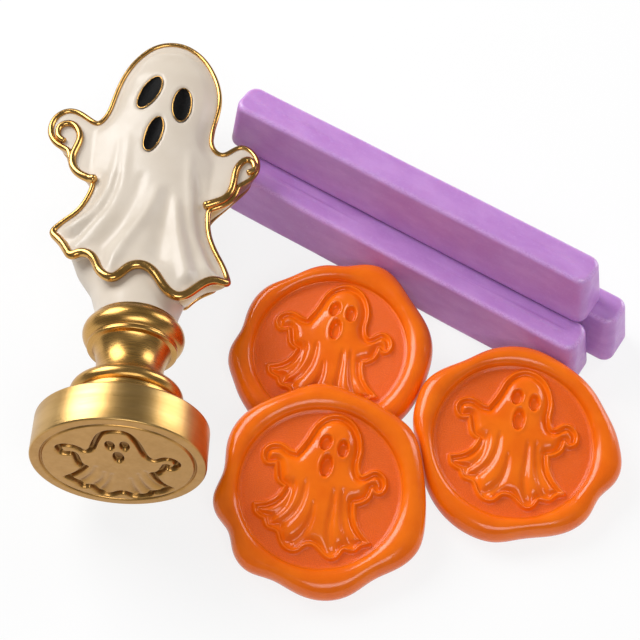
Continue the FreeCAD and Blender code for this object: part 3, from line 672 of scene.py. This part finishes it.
for number, side in enumerate(("front", "rear", "top")):
    node, body = "stick_" + side, side + "_stick"
    pts, faces, polish_and_painted_highlight = bar_mesh(number + 1)
    placed = onto(turned(pts, "z", STICK_TURN), node)
    apart = pts + STICK_APART * number
    ob = piece(node + "_wax", placed, faces, PURPLE, body, [node], "purple_wax", loc=apart)
    mark(ob, polish_and_painted_highlight)


def metal(name, tone, worn, rough, spread):
    # Cast or engraved metal, darker where its points are marked: painted shade on the gilt walls, and dark
    # engraved cuts on the head.
    mat, spot, put, bump = shader(name, Metallic=1.0)
    cloud = spot.noise(0.35, 4.0, 0.6).step(0.3, 0.72)
    cut = spot.marked()
    put("Base Color", (cut * 0.75).mix(cloud.mix(tone, worn), rgb(0.16, 0.075, 0.02)))
    put("Roughness", spot.noise(1.3, 4.0, 0.6).step(0.3, 0.7, rough, rough + spread))
    bump(spot.noise(1.1, 2.0), 0.02)
    return mat


def turned_material(name, tone, worn, rough, lines, depth):
    # Turned metal: fine lines run around the axis.
    mat, spot, put, bump = shader(name, Metallic=1.0)
    x, y, z = spot.parts()
    radius = (x * x + y * y).calc("SQRT")
    angle = y.calc("ARCTAN2", x)
    grain = (radius * lines).vector(z * lines, angle * 2.5).noise(1.0, 4.0, 0.7)
    broad = (radius * 0.5).vector(z * 0.5, angle * 0.8).noise(1.0, 3.0)
    put("Base Color", broad.step(0.3, 0.7).mix(tone, worn))
    put("Roughness", grain.step(0.3, 0.7, rough, rough + 0.14))
    bump(grain, depth)
    return mat


def enamel_material():
    mat, spot, put, bump = shader("white_enamel", IOR=1.5, Specular_IOR_Level=0.36, Coat_Weight=0.13,
                                  Coat_Roughness=0.16)
    cloud = spot.noise(0.09, 3.0).step(0.3, 0.7)
    put("Base Color", cloud.mix(rgb(0.635, 0.55, 0.45), rgb(0.69, 0.61, 0.515)))
    put("Roughness", spot.noise(0.5, 3.0).step(0.3, 0.7, 0.32, 0.42))
    bump(spot.noise(0.45, 2.0), 0.03)
    return mat


def black_material():
    mat, spot, put, bump = shader("black_enamel", IOR=1.5, Specular_IOR_Level=0.06)
    skin = spot.noise(2.6, 4.0, 0.65)
    put("Base Color", skin.step(0.35, 0.7).mix(rgb(0.003, 0.003, 0.003), rgb(0.009, 0.008, 0.008)))
    put("Roughness", skin.step(0.3, 0.7, 0.36, 0.55))
    bump(skin, 0.1)
    return mat


GOLD = metal("polished_gold", rgb(0.66, 0.385, 0.125), rgb(0.52, 0.28, 0.072), 0.14, 0.1)
BRASS = turned_material("turned_brass", rgb(0.6, 0.345, 0.105), rgb(0.5, 0.275, 0.072), 0.22, 7.0, 0.004)
BRUSHED = turned_material("brushed_brass", rgb(0.61, 0.385, 0.145), rgb(0.51, 0.305, 0.1), 0.27, 9.0, 0.006)
SATIN = metal("satin_brass", rgb(0.515, 0.285, 0.09), rgb(0.455, 0.245, 0.07), 0.3, 0.1)
STEEL = turned_material("turned_steel", rgb(0.55, 0.55, 0.57), rgb(0.47, 0.47, 0.5), 0.24, 6.0, 0.004)
ENAMEL, BLACK = enamel_material(), black_material()

# Ghost: half span, height, foot and side shift, and the runs of its outline as shares of span and height.
SPAN, TALL, GROUND, ASIDE = 20.5, 63.0, 30.3, -0.42
GHOST_RUNS = {
    "head": [
        (-0.47, 0.7), (-0.425, 0.762), (-0.37, 0.85), (-0.24, 0.942), (-0.08, 0.99),
        (0.105, 1.0), (0.335, 0.962), (0.5, 0.884), (0.585, 0.79), (0.575, 0.7), (0.545, 0.625),
        (0.575, 0.575), (0.66, 0.556), (0.745, 0.577), (0.84, 0.594), (0.94, 0.571), (1.0, 0.524),
        (0.97, 0.479), (0.895, 0.455), (0.83, 0.44)],
    "right_cuff": [(0.795, 0.394), (0.71, 0.368), (0.575, 0.35)],
    "right_side": [(0.6, 0.263), (0.68, 0.194), (0.775, 0.132), (0.82, 0.079)],
    "hem": [
        (0.705, 0.083), (0.605, 0.062), (0.507, 0.025), (0.405, 0.003), (0.302, 0.022),
        (0.205, 0.068), (0.09, 0.101), (-0.015, 0.1), (-0.095, 0.073), (-0.175, 0.048), (-0.263, 0.063),
        (-0.347, 0.114), (-0.425, 0.152), (-0.507, 0.159), (-0.58, 0.143)],
    "left_hem": [(-0.63, 0.171), (-0.7, 0.21), (-0.815, 0.248)],
    "left_side": [
        (-0.72, 0.289), (-0.61, 0.324), (-0.537, 0.371), (-0.507, 0.41), (-0.498, 0.447)],
    "left_cuff": [(-0.605, 0.462), (-0.69, 0.489), (-0.75, 0.527), (-0.77, 0.565)],
    "left_hand": [
        (-0.85, 0.576), (-0.937, 0.602), (-0.98, 0.64), (-0.966, 0.681), (-0.907, 0.71),
        (-0.825, 0.722), (-0.712, 0.708), (-0.615, 0.683), (-0.537, 0.665)],
}
# Half thickness of the gilt bead along each run, and how far the back edge is tucked in behind it.
RIM_RADIUS = {"head": 0.46, "right_cuff": 0.6, "right_side": 0.5, "hem": 0.86, "left_hem": 0.84,
              "left_side": 0.5, "left_cuff": 0.6, "left_hand": 0.6}
TUCK_REACH = {"hem": 3.6, "left_hem": 2.6, "right_cuff": 2.0, "left_cuff": 1.8}
PLAIN_TUCK = 1.1
# Height share, side shift and half width of the body; then height share and fullness.
BODY_LINE = np.array([
    (-0.08, 0.0, 0.86), (0.08, 0.0, 0.82), (0.19, -0.03, 0.72), (0.26, -0.09, 0.7), (0.33, -0.03, 0.6),
    (0.41, 0.02, 0.55), (0.52, 0.02, 0.57), (0.63, 0.02, 0.58), (0.74, 0.075, 0.53), (0.83, 0.095, 0.49),
    (0.905, 0.09, 0.42), (0.965, 0.095, 0.32), (1.03, 0.1, 0.22)])
FULLNESS = np.array([
    (-0.08, 1.0), (0.08, 1.0), (0.26, 0.92), (0.41, 0.84), (0.58, 0.86), (0.72, 0.93), (0.84, 0.92),
    (0.92, 0.8), (0.97, 0.64), (1.03, 0.48)])
# Crests and troughs of the sheet's folds and the hands' scrolls: to the right, and up from the ghost's foot.
CRESTS = [
    [(-6.4, 38.4), (-6.6, 30.1), (-7.5, 23.8), (-9.8, 18.4), (-13.6, 15.0)],
    [(-4.9, 40.2), (-4.8, 32.3), (-5.1, 25.5), (-6.7, 19.3), (-9.7, 14.3), (-11.8, 11.5)],
    [(2.1, 27.1), (1.3, 21.2), (-0.2, 16.7), (-3.4, 9.8), (-5.0, 4.3)],
    [(7.1, 36.2), (7.6, 28.5), (8.9, 20.2), (11.2, 12.3), (13.7, 4.9)],
    [(5.6, 24.2), (6.2, 18.1), (7.8, 10.2), (9.3, 4.4)],
]
TROUGHS = [
    [(-5.7, 29.7), (-6.3, 23.8), (-8.2, 18.0), (-11.4, 13.6)],
    [(-1.0, 29.9), (-2.2, 21.9), (-4.8, 14.5), (-7.6, 10.0)],
    [(4.2, 26.3), (3.9, 20.1), (3.4, 12.8), (3.4, 8.1)],
    [(9.3, 31.2), (10.0, 21.3), (12.1, 12.8), (15.0, 6.7)],
]
# Eyes and mouth: place, half width, half height and lean in degrees.
FACE_OVALS = {"left_eye": (-0.066, 0.764, 0.092, 0.067, 20), "right_eye": (0.252, 0.719, 0.085, 0.065, 2),
              "mouth": (0.018, 0.598, 0.076, 0.066, 11)}
LEFT_SCROLL = [
    (-10.6, 28.0), (-12.6, 28.8), (-14.4, 30.3), (-15.3, 32.7), (-15.0, 35.3), (-14.5, 37.7),
    (-15.1, 40.3), (-16.8, 41.8), (-18.3, 41.4), (-18.9, 39.5), (-18.3, 38.1), (-17.5, 37.5)]
RIGHT_SCROLL = [
    (11.0, 22.7), (12.6, 23.3), (14.5, 24.5), (15.6, 27.1), (15.9, 30.2), (16.7, 32.8), (18.1, 33.9),
    (19.2, 33.1), (19.3, 31.4), (18.4, 30.8)]
# Fullness of the sheet at the chest and at the arms, and the folds' height, depth and fading heights.
FRONT_DEPTH, FRONT_ARM, BACK_DEPTH, BACK_ARM = 7.0, 3.2, 5.4, 2.0
CREST_RISE, TROUGH_SINK, FOLDS_FADE = 1.05, 0.95, (21.0, 43.0)


def table(rows, at, column):
    # A column of a table, eased between its rows.
    i = np.clip(np.searchsorted(rows[:, 0], at) - 1, 0, len(rows) - 2)
    part = ease((at - rows[i, 0]) / (rows[i + 1, 0] - rows[i, 0]))
    return rows[i, column] + (rows[i + 1, column] - rows[i, column]) * part


def span_run(run):
    # A run of the ghost's outline in millimetres.
    return [(ASIDE + x * SPAN, GROUND + z * TALL) for x, z in run]


def dome(x, z, full, arm):
    # Rounded thickness of the ghost, full in the middle of the body and thin at the arms.
    share = (z - GROUND) / TALL
    centre, half = ASIDE + table(BODY_LINE, share, 1) * SPAN, table(BODY_LINE, share, 2) * SPAN
    across = np.clip((x - centre) / half, -1.0, 1.0)
    return arm + np.maximum(full * table(FULLNESS, share, 1) - arm, 0) * (1 - across * across)


def front(x, z):
    # How far the sheet stands out in front, with its folds.
    xz = columns([x, z - GROUND])
    fall = 1 - ease(z - GROUND, *FOLDS_FADE)
    folds = CREST_RISE * strokes(xz, CRESTS, 0.8, 1.5) - TROUGH_SINK * strokes(xz, TROUGHS, 0.9, 1.9)
    return dome(x, z, FRONT_DEPTH, FRONT_ARM) + folds * (0.35 + 0.65 * fall)


def back(x, z):
    # How far the sheet stands out behind.
    return dome(x, z, BACK_DEPTH, BACK_ARM)


GHOST_PATHS = {name: cubic(span_run(run), 0.4)
               for name, run in zip(GHOST_RUNS, chained(list(GHOST_RUNS.values())))}


def evened(values, spread):
    # Round-the-loop average, so that the rim runs smoothly.
    reach = np.arange(-3 * spread, 3 * spread + 1)
    weights = np.exp(-(reach / spread) ** 2 / 2)
    total = sum(w * np.roll(values, -r, 0) for r, w in zip(reach, weights))
    return total / weights.sum()


GHOST_EDGE = evened(np.vstack([p[:-1] for p in GHOST_PATHS.values()]), 2)
GHOST_LOOP = np.vstack([GHOST_EDGE, GHOST_EDGE[:1]])
GHOST_PART = np.repeat(list(GHOST_PATHS), [len(p) - 1 for p in GHOST_PATHS.values()])
# Grid step of the sheet's triangles, and how near to the outline its points come.
SHEET_STEP, EDGE_CLEAR = 0.42, 0.28


def sheet_mesh():
    # Flat triangles over the ghost's outline.
    low, high = GHOST_EDGE.min(0), GHOST_EDGE.max(0)
    gx, gz = (np.arange(low[i], high[i], SHEET_STEP) for i in (0, 1))
    gx, gz = np.meshgrid(gx, gz)
    grid = columns([gx.ravel(), gz.ravel()])
    d, inside = flat_distance(grid, GHOST_LOOP)
    pts = np.vstack([GHOST_EDGE, grid[inside & (d > EDGE_CLEAR)]])
    n = len(GHOST_EDGE)
    out = delaunay_2d_cdt([Vector(p) for p in pts], [(i, (i + 1) % n) for i in range(n)], [], 1, 1e-5)
    return np.array([tuple(v) for v in out[0]]), [tuple(f) for f in out[2]]


EDGE_FRONT, EDGE_BACK = evened(front(*GHOST_EDGE.T), 5), evened(back(*GHOST_EDGE.T), 5)
# The back edge lies a little inside the front one, along these directions.
ahead_on = np.roll(GHOST_EDGE, -1, 0) - np.roll(GHOST_EDGE, 1, 0)
inward = evened(columns([ahead_on[:, 1], -ahead_on[:, 0]]), 8)
inward /= np.linalg.norm(inward, axis=1)[:, None] + 1e-9
inward *= evened(np.array([TUCK_REACH.get(name, PLAIN_TUCK) for name in GHOST_PART]), 8)[:, None]
TUCK = evened(GHOST_EDGE + inward, 7) - GHOST_EDGE
flat, tris = sheet_mesh()
rim_gap, _ = flat_distance(flat, GHOST_LOOP)
rim_near = np.concatenate([np.sqrt(((c[:, None] - GHOST_EDGE[None]) ** 2).sum(-1)).argmin(1)
                           for c in np.array_split(flat, 8)])
# How far in from the rim the sheet follows it, and how deep it dips beside the rim and under the face.
RIM_REACH, TUCK_BACK_REACH = 3.2, 5.0
DIP_FRONT, DIP_BACK, DIP_WIDE, FACE_HOLLOW = 0.35, 0.4, 0.5, 1.3
FX, FZ = flat.T
blend, dip = ease(rim_gap, 0.0, RIM_REACH), np.exp(-rim_gap / DIP_WIDE)
depth = EDGE_FRONT[rim_near] * (1 - blend) + front(FX, FZ) * blend - DIP_FRONT * dip
for x, z, wide, high, lean in FACE_OVALS.values():
    e = oval_edge(flat, ASIDE + x * SPAN, GROUND + z * TALL, wide * SPAN, high * TALL, lean)
    depth = depth - FACE_HOLLOW * ease(-e, -0.35, 0.45)
ahead = columns([FX, -depth, FZ])
one, two, three = (ahead[[f[i] for f in tris]] for i in (0, 1, 2))
turned_in = np.cross(two - one, three - one)[:, 1].mean() > 0
front_faces = [f[::-1] for f in tris] if turned_in else tris
on_handle("sheet_front", (ahead, front_faces), ENAMEL, ["front_enamel"], "white_enamel")
tucked = flat + TUCK[rim_near] * (1 - ease(rim_gap, 0.0, TUCK_BACK_REACH))[:, None]
depth = EDGE_BACK[rim_near] * (1 - blend) + back(FX, FZ) * blend - DIP_BACK * dip
behind = columns([tucked[:, 0], depth, tucked[:, 1]])
back_faces = [f[::-1] for f in front_faces]
on_handle("sheet_back", (behind, back_faces), ENAMEL, ["back_enamel"], "white_enamel")


def wall(path, tuck, ahead_of, behind_of, steps=9):
    # Side of the casting between its front and its back edge, a little full in the middle.
    t = np.linspace(0, 1, steps)[:, None]
    y = -(ahead_of - 0.2) * (1 - t) + (behind_of - 0.2) * t
    x, z = path[:, 0] + tuck[:, 0] * t ** 1.6, path[:, 1] + tuck[:, 1] * t ** 1.6
    return np.stack([x, y, z], -1).reshape(-1, 3), quads(steps, len(path))


def rim(inward, depth, radius):
    # Closed bead round the ghost, in front of or behind the sheet.
    path = GHOST_EDGE + inward
    return grown(BEAD, GOLD, columns([path[:, 0], depth, path[:, 1]]), radius, True, Sides=12)


def on_oval(oval, u, v, sink):
    # Points of a face oval on the sheet, from shares of its half width and half height.
    x, z, wide, high, lean = oval
    u, v, a = u * wide * SPAN, v * high * TALL, math.radians(lean)
    x = ASIDE + x * SPAN + u * math.cos(a) + v * math.sin(a)
    z = GROUND + z * TALL - u * math.sin(a) + v * math.cos(a)
    return columns([x, sink - front(x, z), z])


BEAD = bead_tree()
BACK_BEAD, FACE_BEAD, FACE_BEAD_SINK = 0.4, 0.12, 0.05
FILL_SINK, FILL_HOLLOW = 0.12, 0.55
SCROLL_BEAD, SCROLL_TAPER = 0.84, 0.26
# The hem is gilt through its whole depth right of this, and the gilt walls are painted darker than the beads,
# as painted shade on the casting's sides.
HEM_GILT_FROM, WALL_PAINTED_SHADE = 8.0, 0.5
wide = evened(np.array([RIM_RADIUS[name] for name in GHOST_PART]), 4)
beads = [rim(0 * TUCK, 0.25 * wide - EDGE_FRONT, wide), rim(TUCK, EDGE_BACK - 0.25, BACK_BEAD)]
gilt, under = [], []
for name in GHOST_RUNS:
    span = np.flatnonzero(GHOST_PART == name)
    span = np.append(span, (span[-1] + 1) % len(GHOST_EDGE))
    # The hem is enamelled underneath, up to its gilt right corner.
    bare = name not in ("hem", "left_hem")
    turn = np.flatnonzero(np.diff(GHOST_EDGE[span, 0] > HEM_GILT_FROM)) if name == "hem" else []
    ends = [0, *(k + 1 for k in turn), len(span) - 1]
    for low, high in zip(ends, ends[1:]):
        part = span[low:high + 1]
        side = wall(GHOST_EDGE[part], TUCK[part], EDGE_FRONT[part], EDGE_BACK[part])
        (gilt if bare or GHOST_EDGE[part[:-1], 0].mean() > HEM_GILT_FROM else under).append(side)
for name, oval in FACE_OVALS.items():
    t = np.linspace(0, 2 * math.pi, 72, endpoint=False)
    ring = on_oval(oval, np.cos(t), np.sin(t), FACE_BEAD_SINK)
    beads.append(grown(BEAD, GOLD, ring, FACE_BEAD, True, Sides=10))
    disc, faces, _ = disc_grid(36)
    sink = FILL_SINK + FILL_HOLLOW * (1 - (disc ** 2).sum(1))
    pts = on_oval(oval, *disc.T, sink)
    on_handle(name + "_fill", (pts, faces), BLACK, [name], "black_enamel")
pts, faces = joined(beads + gilt)
ob = on_handle("gilt_edge", (pts, faces), GOLD, ["ghost_casting"], "cast_gilt")
polished = sum(len(p) for p, _ in beads)
# The walls' points are marked for painted shade, which turns their gold dark brown.
mark(ob, np.where(np.arange(len(pts)) < polished, 0.0, WALL_PAINTED_SHADE))
on_handle("hem_underside", joined(under), ENAMEL, [], "white_enamel")
for name, path in (("left_scroll", LEFT_SCROLL), ("right_scroll", RIGHT_SCROLL)):
    p = cubic(path, 0.25)
    t = np.linspace(0, 1, len(p))
    x, z = p[:, 0], GROUND + p[:, 1]
    line, thick = domed(columns([x, -front(x, z) - 0.35, z]), SCROLL_BEAD - SCROLL_TAPER * t)
    on_handle(name + "_bead", grown(BEAD, GOLD, line, thick, Sides=14), GOLD, [name], "cast_gilt")


NECK_RADIUS, NECK_FLARE, NECK_THINNING, NECK_FOOT, NECK_HEIGHT = 7.4, 6.0, 3.0, 28.0, 14.5
NECK_SPREAD = np.array([(0, 0), (0.16, 0.02), (0.42, 0.22), (0.7, 0.7), (1.0, 1.0)])


def bell_mesh():
    # The neck, round at the collar and flaring sideways into the skirt.
    rows = []
    for rise in np.linspace(0, 1, 26):
        wide = NECK_RADIUS + NECK_FLARE * np.interp(rise, *NECK_SPREAD.T)
        rows.append((wide, NECK_RADIUS - NECK_THINNING * rise, NECK_FOOT + NECK_HEIGHT * rise))
    rows = np.array(rows)
    rows[1:-1, 0] = (rows[:-2, 0] + 2 * rows[1:-1, 0] + rows[2:, 0]) / 4
    return ovals(rows, 120)


on_handle("neck_bell", bell_mesh(), ENAMEL, ["neck_enamel"], "white_enamel")


def bend(a, b, c, count=12):
    # Arc through three (radius, height) points.
    (ax, ay), (bx, by), (cx, cy) = a, b, c
    d = 2 * (ax * (by - cy) + bx * (cy - ay) + cx * (ay - by))
    aa, bb, cc = ax * ax + ay * ay, bx * bx + by * by, cx * cx + cy * cy
    ux = (aa * (by - cy) + bb * (cy - ay) + cc * (ay - by)) / d
    uy = (aa * (cx - bx) + bb * (ax - cx) + cc * (bx - ax)) / d
    angles = np.unwrap([math.atan2(y - uy, x - ux) for x, y in (a, b, c)])
    t = np.interp(np.linspace(0, 2, count), (0, 1, 2), angles)
    r = math.hypot(ax - ux, ay - uy)
    return [(ux + r * math.cos(s), uy + r * math.sin(s)) for s in t]


# Turned profiles as (radius, height): flange, cove, ring, bead and step of the collar, then the spacer ring.
COLLAR = [(3.1, 11.4), (8.9, 11.4)]
COLLAR += bend((9.1, 11.55), (9.9, 12.73), (8.35, 14.45), 18) + [(8.15, 14.6), (7.2, 14.7)]
COLLAR += bend((6.85, 15.0), (5.95, 18.2), (7.0, 22.25), 20)
COLLAR += [(7.1, 22.33), (7.85, 22.36), (8.0, 22.48), (8.0, 23.05), (7.9, 23.2)]
COLLAR += bend((8.0, 23.32), (9.1, 25.18), (8.45, 27.0), 20)
COLLAR += [(8.3, 27.1), (7.9, 27.16), (7.8, 27.3), (7.8, 27.85), (7.65, 28.0), (3.1, 28.0)]
on_handle("collar_turning", lathe(COLLAR, 180), BRASS, ["collar"], "turned_brass")
RING = [(3.1, 10.2), (9.3, 10.2), (9.46, 10.27), (9.5, 10.4), (9.5, 11.2), (9.46, 11.33), (9.3, 11.4),
        (3.1, 11.4), (3.1, 10.2)]
pts, faces = lathe(RING, 180)
piece("ring_turning", pts, faces, BRASS, "ring", ["spacer_ring"], "turned_brass", from_stamp)


# The ghost engraved in the head, as shares of the radius of its field.
DIE_RUNS = [
    [(-0.7, 0.24), (-0.74, 0.31), (-0.74, 0.4), (-0.69, 0.45), (-0.61, 0.46), (-0.53, 0.43),
     (-0.46, 0.36), (-0.39, 0.31), (-0.33, 0.34), (-0.28, 0.45), (-0.23, 0.59), (-0.16, 0.74), (-0.08, 0.82),
     (0.02, 0.85), (0.13, 0.84), (0.21, 0.78), (0.27, 0.67), (0.31, 0.55), (0.34, 0.41), (0.37, 0.26),
     (0.42, 0.15), (0.48, 0.11), (0.54, 0.12), (0.61, 0.16), (0.69, 0.16), (0.75, 0.11), (0.79, 0.01),
     (0.75, -0.09), (0.68, -0.12), (0.63, -0.04)],
    [(0.58, -0.16), (0.53, -0.24), (0.44, -0.28)],
    [(0.47, -0.4), (0.53, -0.54), (0.64, -0.65)],
    [(0.56, -0.74), (0.46, -0.79), (0.39, -0.81), (0.34, -0.88), (0.26, -0.91), (0.18, -0.93),
     (0.1, -0.92), (0.02, -0.85), (-0.04, -0.83), (-0.14, -0.88), (-0.25, -0.9), (-0.32, -0.86),
     (-0.39, -0.76), (-0.47, -0.67), (-0.53, -0.68), (-0.59, -0.61), (-0.64, -0.53), (-0.74, -0.42)],
    [(-0.63, -0.34), (-0.54, -0.25), (-0.46, -0.13)],
    [(-0.52, -0.06), (-0.54, 0.04), (-0.55, 0.15), (-0.58, 0.23), (-0.64, 0.23)],
]
DIE_OVALS = [(-0.06, 0.46, 0.066, 0.125, 0), (0.132, 0.45, 0.066, 0.13, 0), (0.02, 0.151, 0.075, 0.15, 0)]
DIE_FOLDS = [
    [(-0.29, -0.06), (-0.34, -0.22), (-0.43, -0.41), (-0.55, -0.56)],
    [(-0.21, -0.21), (-0.24, -0.4), (-0.32, -0.58), (-0.42, -0.7)],
    [(-0.11, -0.25), (-0.15, -0.46), (-0.23, -0.67), (-0.31, -0.84)],
    [(0.12, -0.37), (0.12, -0.56), (0.14, -0.76), (0.17, -0.9)],
    [(0.23, -0.23), (0.24, -0.47), (0.29, -0.67), (0.35, -0.83)],
    [(0.33, -0.15), (0.37, -0.39), (0.45, -0.59), (0.55, -0.71)],
]
# The head's radius, edge round, height and the radius of its engraved field.
HEAD_RADIUS, HEAD_ROUND, HEAD_HEIGHT, DIE_FIELD = 15.0, 0.35, 7.2, 12.8
# How deep outline, body, folds, face and the ring round the field are cut, and that ring's two flanks.
LINE_CUT, BODY_CUT, FOLD_CUT, FACE_CUT, RING_CUT = 1.0, 0.12, 0.42, 0.75, 0.45
RING_INNER, RING_OUTER = (12.75, 12.95), (13.15, 13.35)


def head_mesh():
    # The engraved face as a fine disc, then the turned side, back and bore as rings of points.
    flat_to = HEAD_RADIUS - HEAD_ROUND
    disc, faces, edge = disc_grid(210)
    r = np.hypot(*disc.T) * flat_to
    xy = disc * flat_to
    seen = xy * (1, -1) / DIE_FIELD
    d, inside = flat_distance(seen, runs_path(DIE_RUNS, 0.018))
    d = np.where(inside, d, -d) * DIE_FIELD
    cut = LINE_CUT * np.exp(-((d - 0.1) / 0.5) ** 4) + BODY_CUT * ease(d, 0.2, 1.0)
    cut = cut + FOLD_CUT * strokes(seen, DIE_FOLDS, 0.026, 0.05) * ease(d, 0.3, 1.2)
    for oval in DIE_OVALS:
        e = oval_edge(seen, *oval) * DIE_FIELD
        cut = cut + FACE_CUT * ease(-e, -0.1, 0.3)
    cut = cut + RING_CUT * ease(r, *RING_INNER) * (1 - ease(r, *RING_OUTER))
    t = np.arctan2(disc[edge, 1], disc[edge, 0])
    arc, high_on = quarter(6), HEAD_HEIGHT - HEAD_ROUND
    side = [(flat_to + HEAD_ROUND * math.sin(s), HEAD_ROUND - HEAD_ROUND * math.cos(s)) for s in arc[1:]]
    side += [(HEAD_RADIUS, 2.4), (HEAD_RADIUS, 4.6)]
    side += [(flat_to + HEAD_ROUND * math.cos(s), high_on + HEAD_ROUND * math.sin(s)) for s in arc]
    side += [(9.0, HEAD_HEIGHT), (8.8, 7.4), (8.8, 10.1), (8.7, 10.2), (3.1, 10.2), (3.04, 10.1), (3.04, 2.7)]
    rings, sides = skirt(edge, columns([np.cos(t), np.sin(t)]), len(disc), side)
    pts = np.vstack([columns([xy, cut]), *rings])
    # The face and the first two rings round it are satin, the rest is brushed.
    satin = len(faces) + 2 * len(edge)
    faces = [f[::-1] for f in faces] + [(a, d, c, b) for a, b, c, d in sides]
    dark = np.append(ease(cut, 0.15, 0.85), np.zeros(len(pts) - len(disc)))
    return pts, faces, np.arange(len(faces)) < satin, dark


pts, faces, index, dark = head_mesh()
ob = piece("head_turning", pts, faces, [BRUSHED, SATIN], "head", ["seal_head"], "turned_brass", from_stamp,
           index)
mark(ob, dark)


# The stud's right-hand thread climbs one millimetre a turn.
STUD_LOW, STUD_HIGH, STUD_LEAD = 2.8, 38.0, 0.6
STUD_CORE, STUD_RIDGE = 2.6, 0.38
wound = STUD_HIGH - STUD_LOW - 2 * STUD_LEAD
pts, faces = grown(thread_tree(), STEEL, Turns=wound, Wound=wound, Length=STUD_HIGH - STUD_LOW,
                   Core=STUD_CORE, Ridge=STUD_RIDGE, Middle=(0.0, 0.0, wound / 2))
pts[:, 2] += STUD_LOW + STUD_LEAD
on_handle("stud_thread", (pts, faces), STEEL, ["stud"], "steel_stud")


# Stage: a pale floor, soft boxes and the camera.
def floor_material():
    # White to the camera and to reflections, and still dimmed by the shadows that fall on it.
    mat = bpy.data.materials.new("floor")
    mat.use_nodes = True
    tree = mat.node_tree
    core = tree.nodes["Principled BSDF"]
    for key, value in (("Base Color", rgb(0.9, 0.9, 0.9)), ("Roughness", 0.9), ("Specular IOR Level", 0.0)):
        core.inputs[key].default_value = value
    rays = tree.nodes.new("ShaderNodeLightPath")
    seen = Sock(tree, rays.outputs["Is Camera Ray"]) + Sock(tree, rays.outputs["Is Glossy Ray"])
    seen = seen + Sock(tree, rays.outputs["Is Transmission Ray"])
    white = seen.node("Emission", (rgb(1.0, 1.0, 1.0), 1.0))
    both = seen.node("MixShader", (seen.step(0.0, 1.0, 0.0, 0.82), Sock(tree, core.outputs[0]), white))
    tree.links.new(both.out, tree.nodes["Material Output"].inputs["Surface"])
    return mat


def aimed(ob, spot):
    # Puts a lamp or the camera at its place, facing the middle of the set.
    ob.location = spot
    ob.rotation_euler = (Vector(CENTRE) - Vector(spot)).to_track_quat("-Z", "Y").to_euler()


# The height that the camera and the lamps aim at, the camera's place, and the floor, a hair below the set.
AIM_HEIGHT, EYE_RISE, EYE_ANGLE, EYE_AWAY = 9.6, 57.0, 24.0, 0.2758
FLOOR_LOW, FLOOR_HALF, WORLD_GLOW = -0.0002, 3.0, 0.19
CENTRE = (SHIFT + np.array((0.0, 0.0, AIM_HEIGHT))) * MM
# Lamps: place, width and height in metres, and watts.
LAMPS = {"key": ((-0.37, 0.32, 0.4), 0.4, 0.4, 3.7), "side": ((0.52, 0.3, 0.2), 0.26, 0.4, 1.5),
         "front": ((0.1, -0.5, 0.6), 0.5, 0.3, 2.2)}
floor = bpy.data.meshes.new("floor")
corners = [CENTRE + np.array((x, y, 0)) * FLOOR_HALF for x, y in ((-1, -1), (1, -1), (1, 1), (-1, 1))]
floor.from_pydata([(x, y, FLOOR_LOW) for x, y, _ in corners], [], [(0, 1, 2, 3)])
floor.materials.append(floor_material())
ob = added("floor", floor)
ob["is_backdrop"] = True
for name, (spot, wide, high, watts) in LAMPS.items():
    lamp = bpy.data.lights.new(name, "AREA")
    lamp.shape, lamp.size, lamp.size_y, lamp.energy = "RECTANGLE", wide, high, watts
    ob = added(name, lamp)
    ob.visible_camera = False
    aimed(ob, spot)

world = bpy.data.worlds.new("studio")
bpy.context.scene.world = world
world.use_nodes = True
glow = world.node_tree.nodes["Background"]
glow.inputs["Color"].default_value = rgb(1.0, 1.0, 1.0)
glow.inputs["Strength"].default_value = WORLD_GLOW

scene = bpy.context.scene
lens = bpy.data.cameras.new("camera")
lens.sensor_fit = "HORIZONTAL"
lens.angle = math.radians(EYE_ANGLE)
lens.clip_start, lens.clip_end = 0.01, 20.0
eye = added("camera", lens)
rise = math.radians(EYE_RISE)
aimed(eye, Vector(CENTRE) + Vector((0.0, -math.cos(rise), math.sin(rise))) * EYE_AWAY)
scene.camera = eye
scene.view_settings.view_transform = "Standard"

low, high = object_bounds()
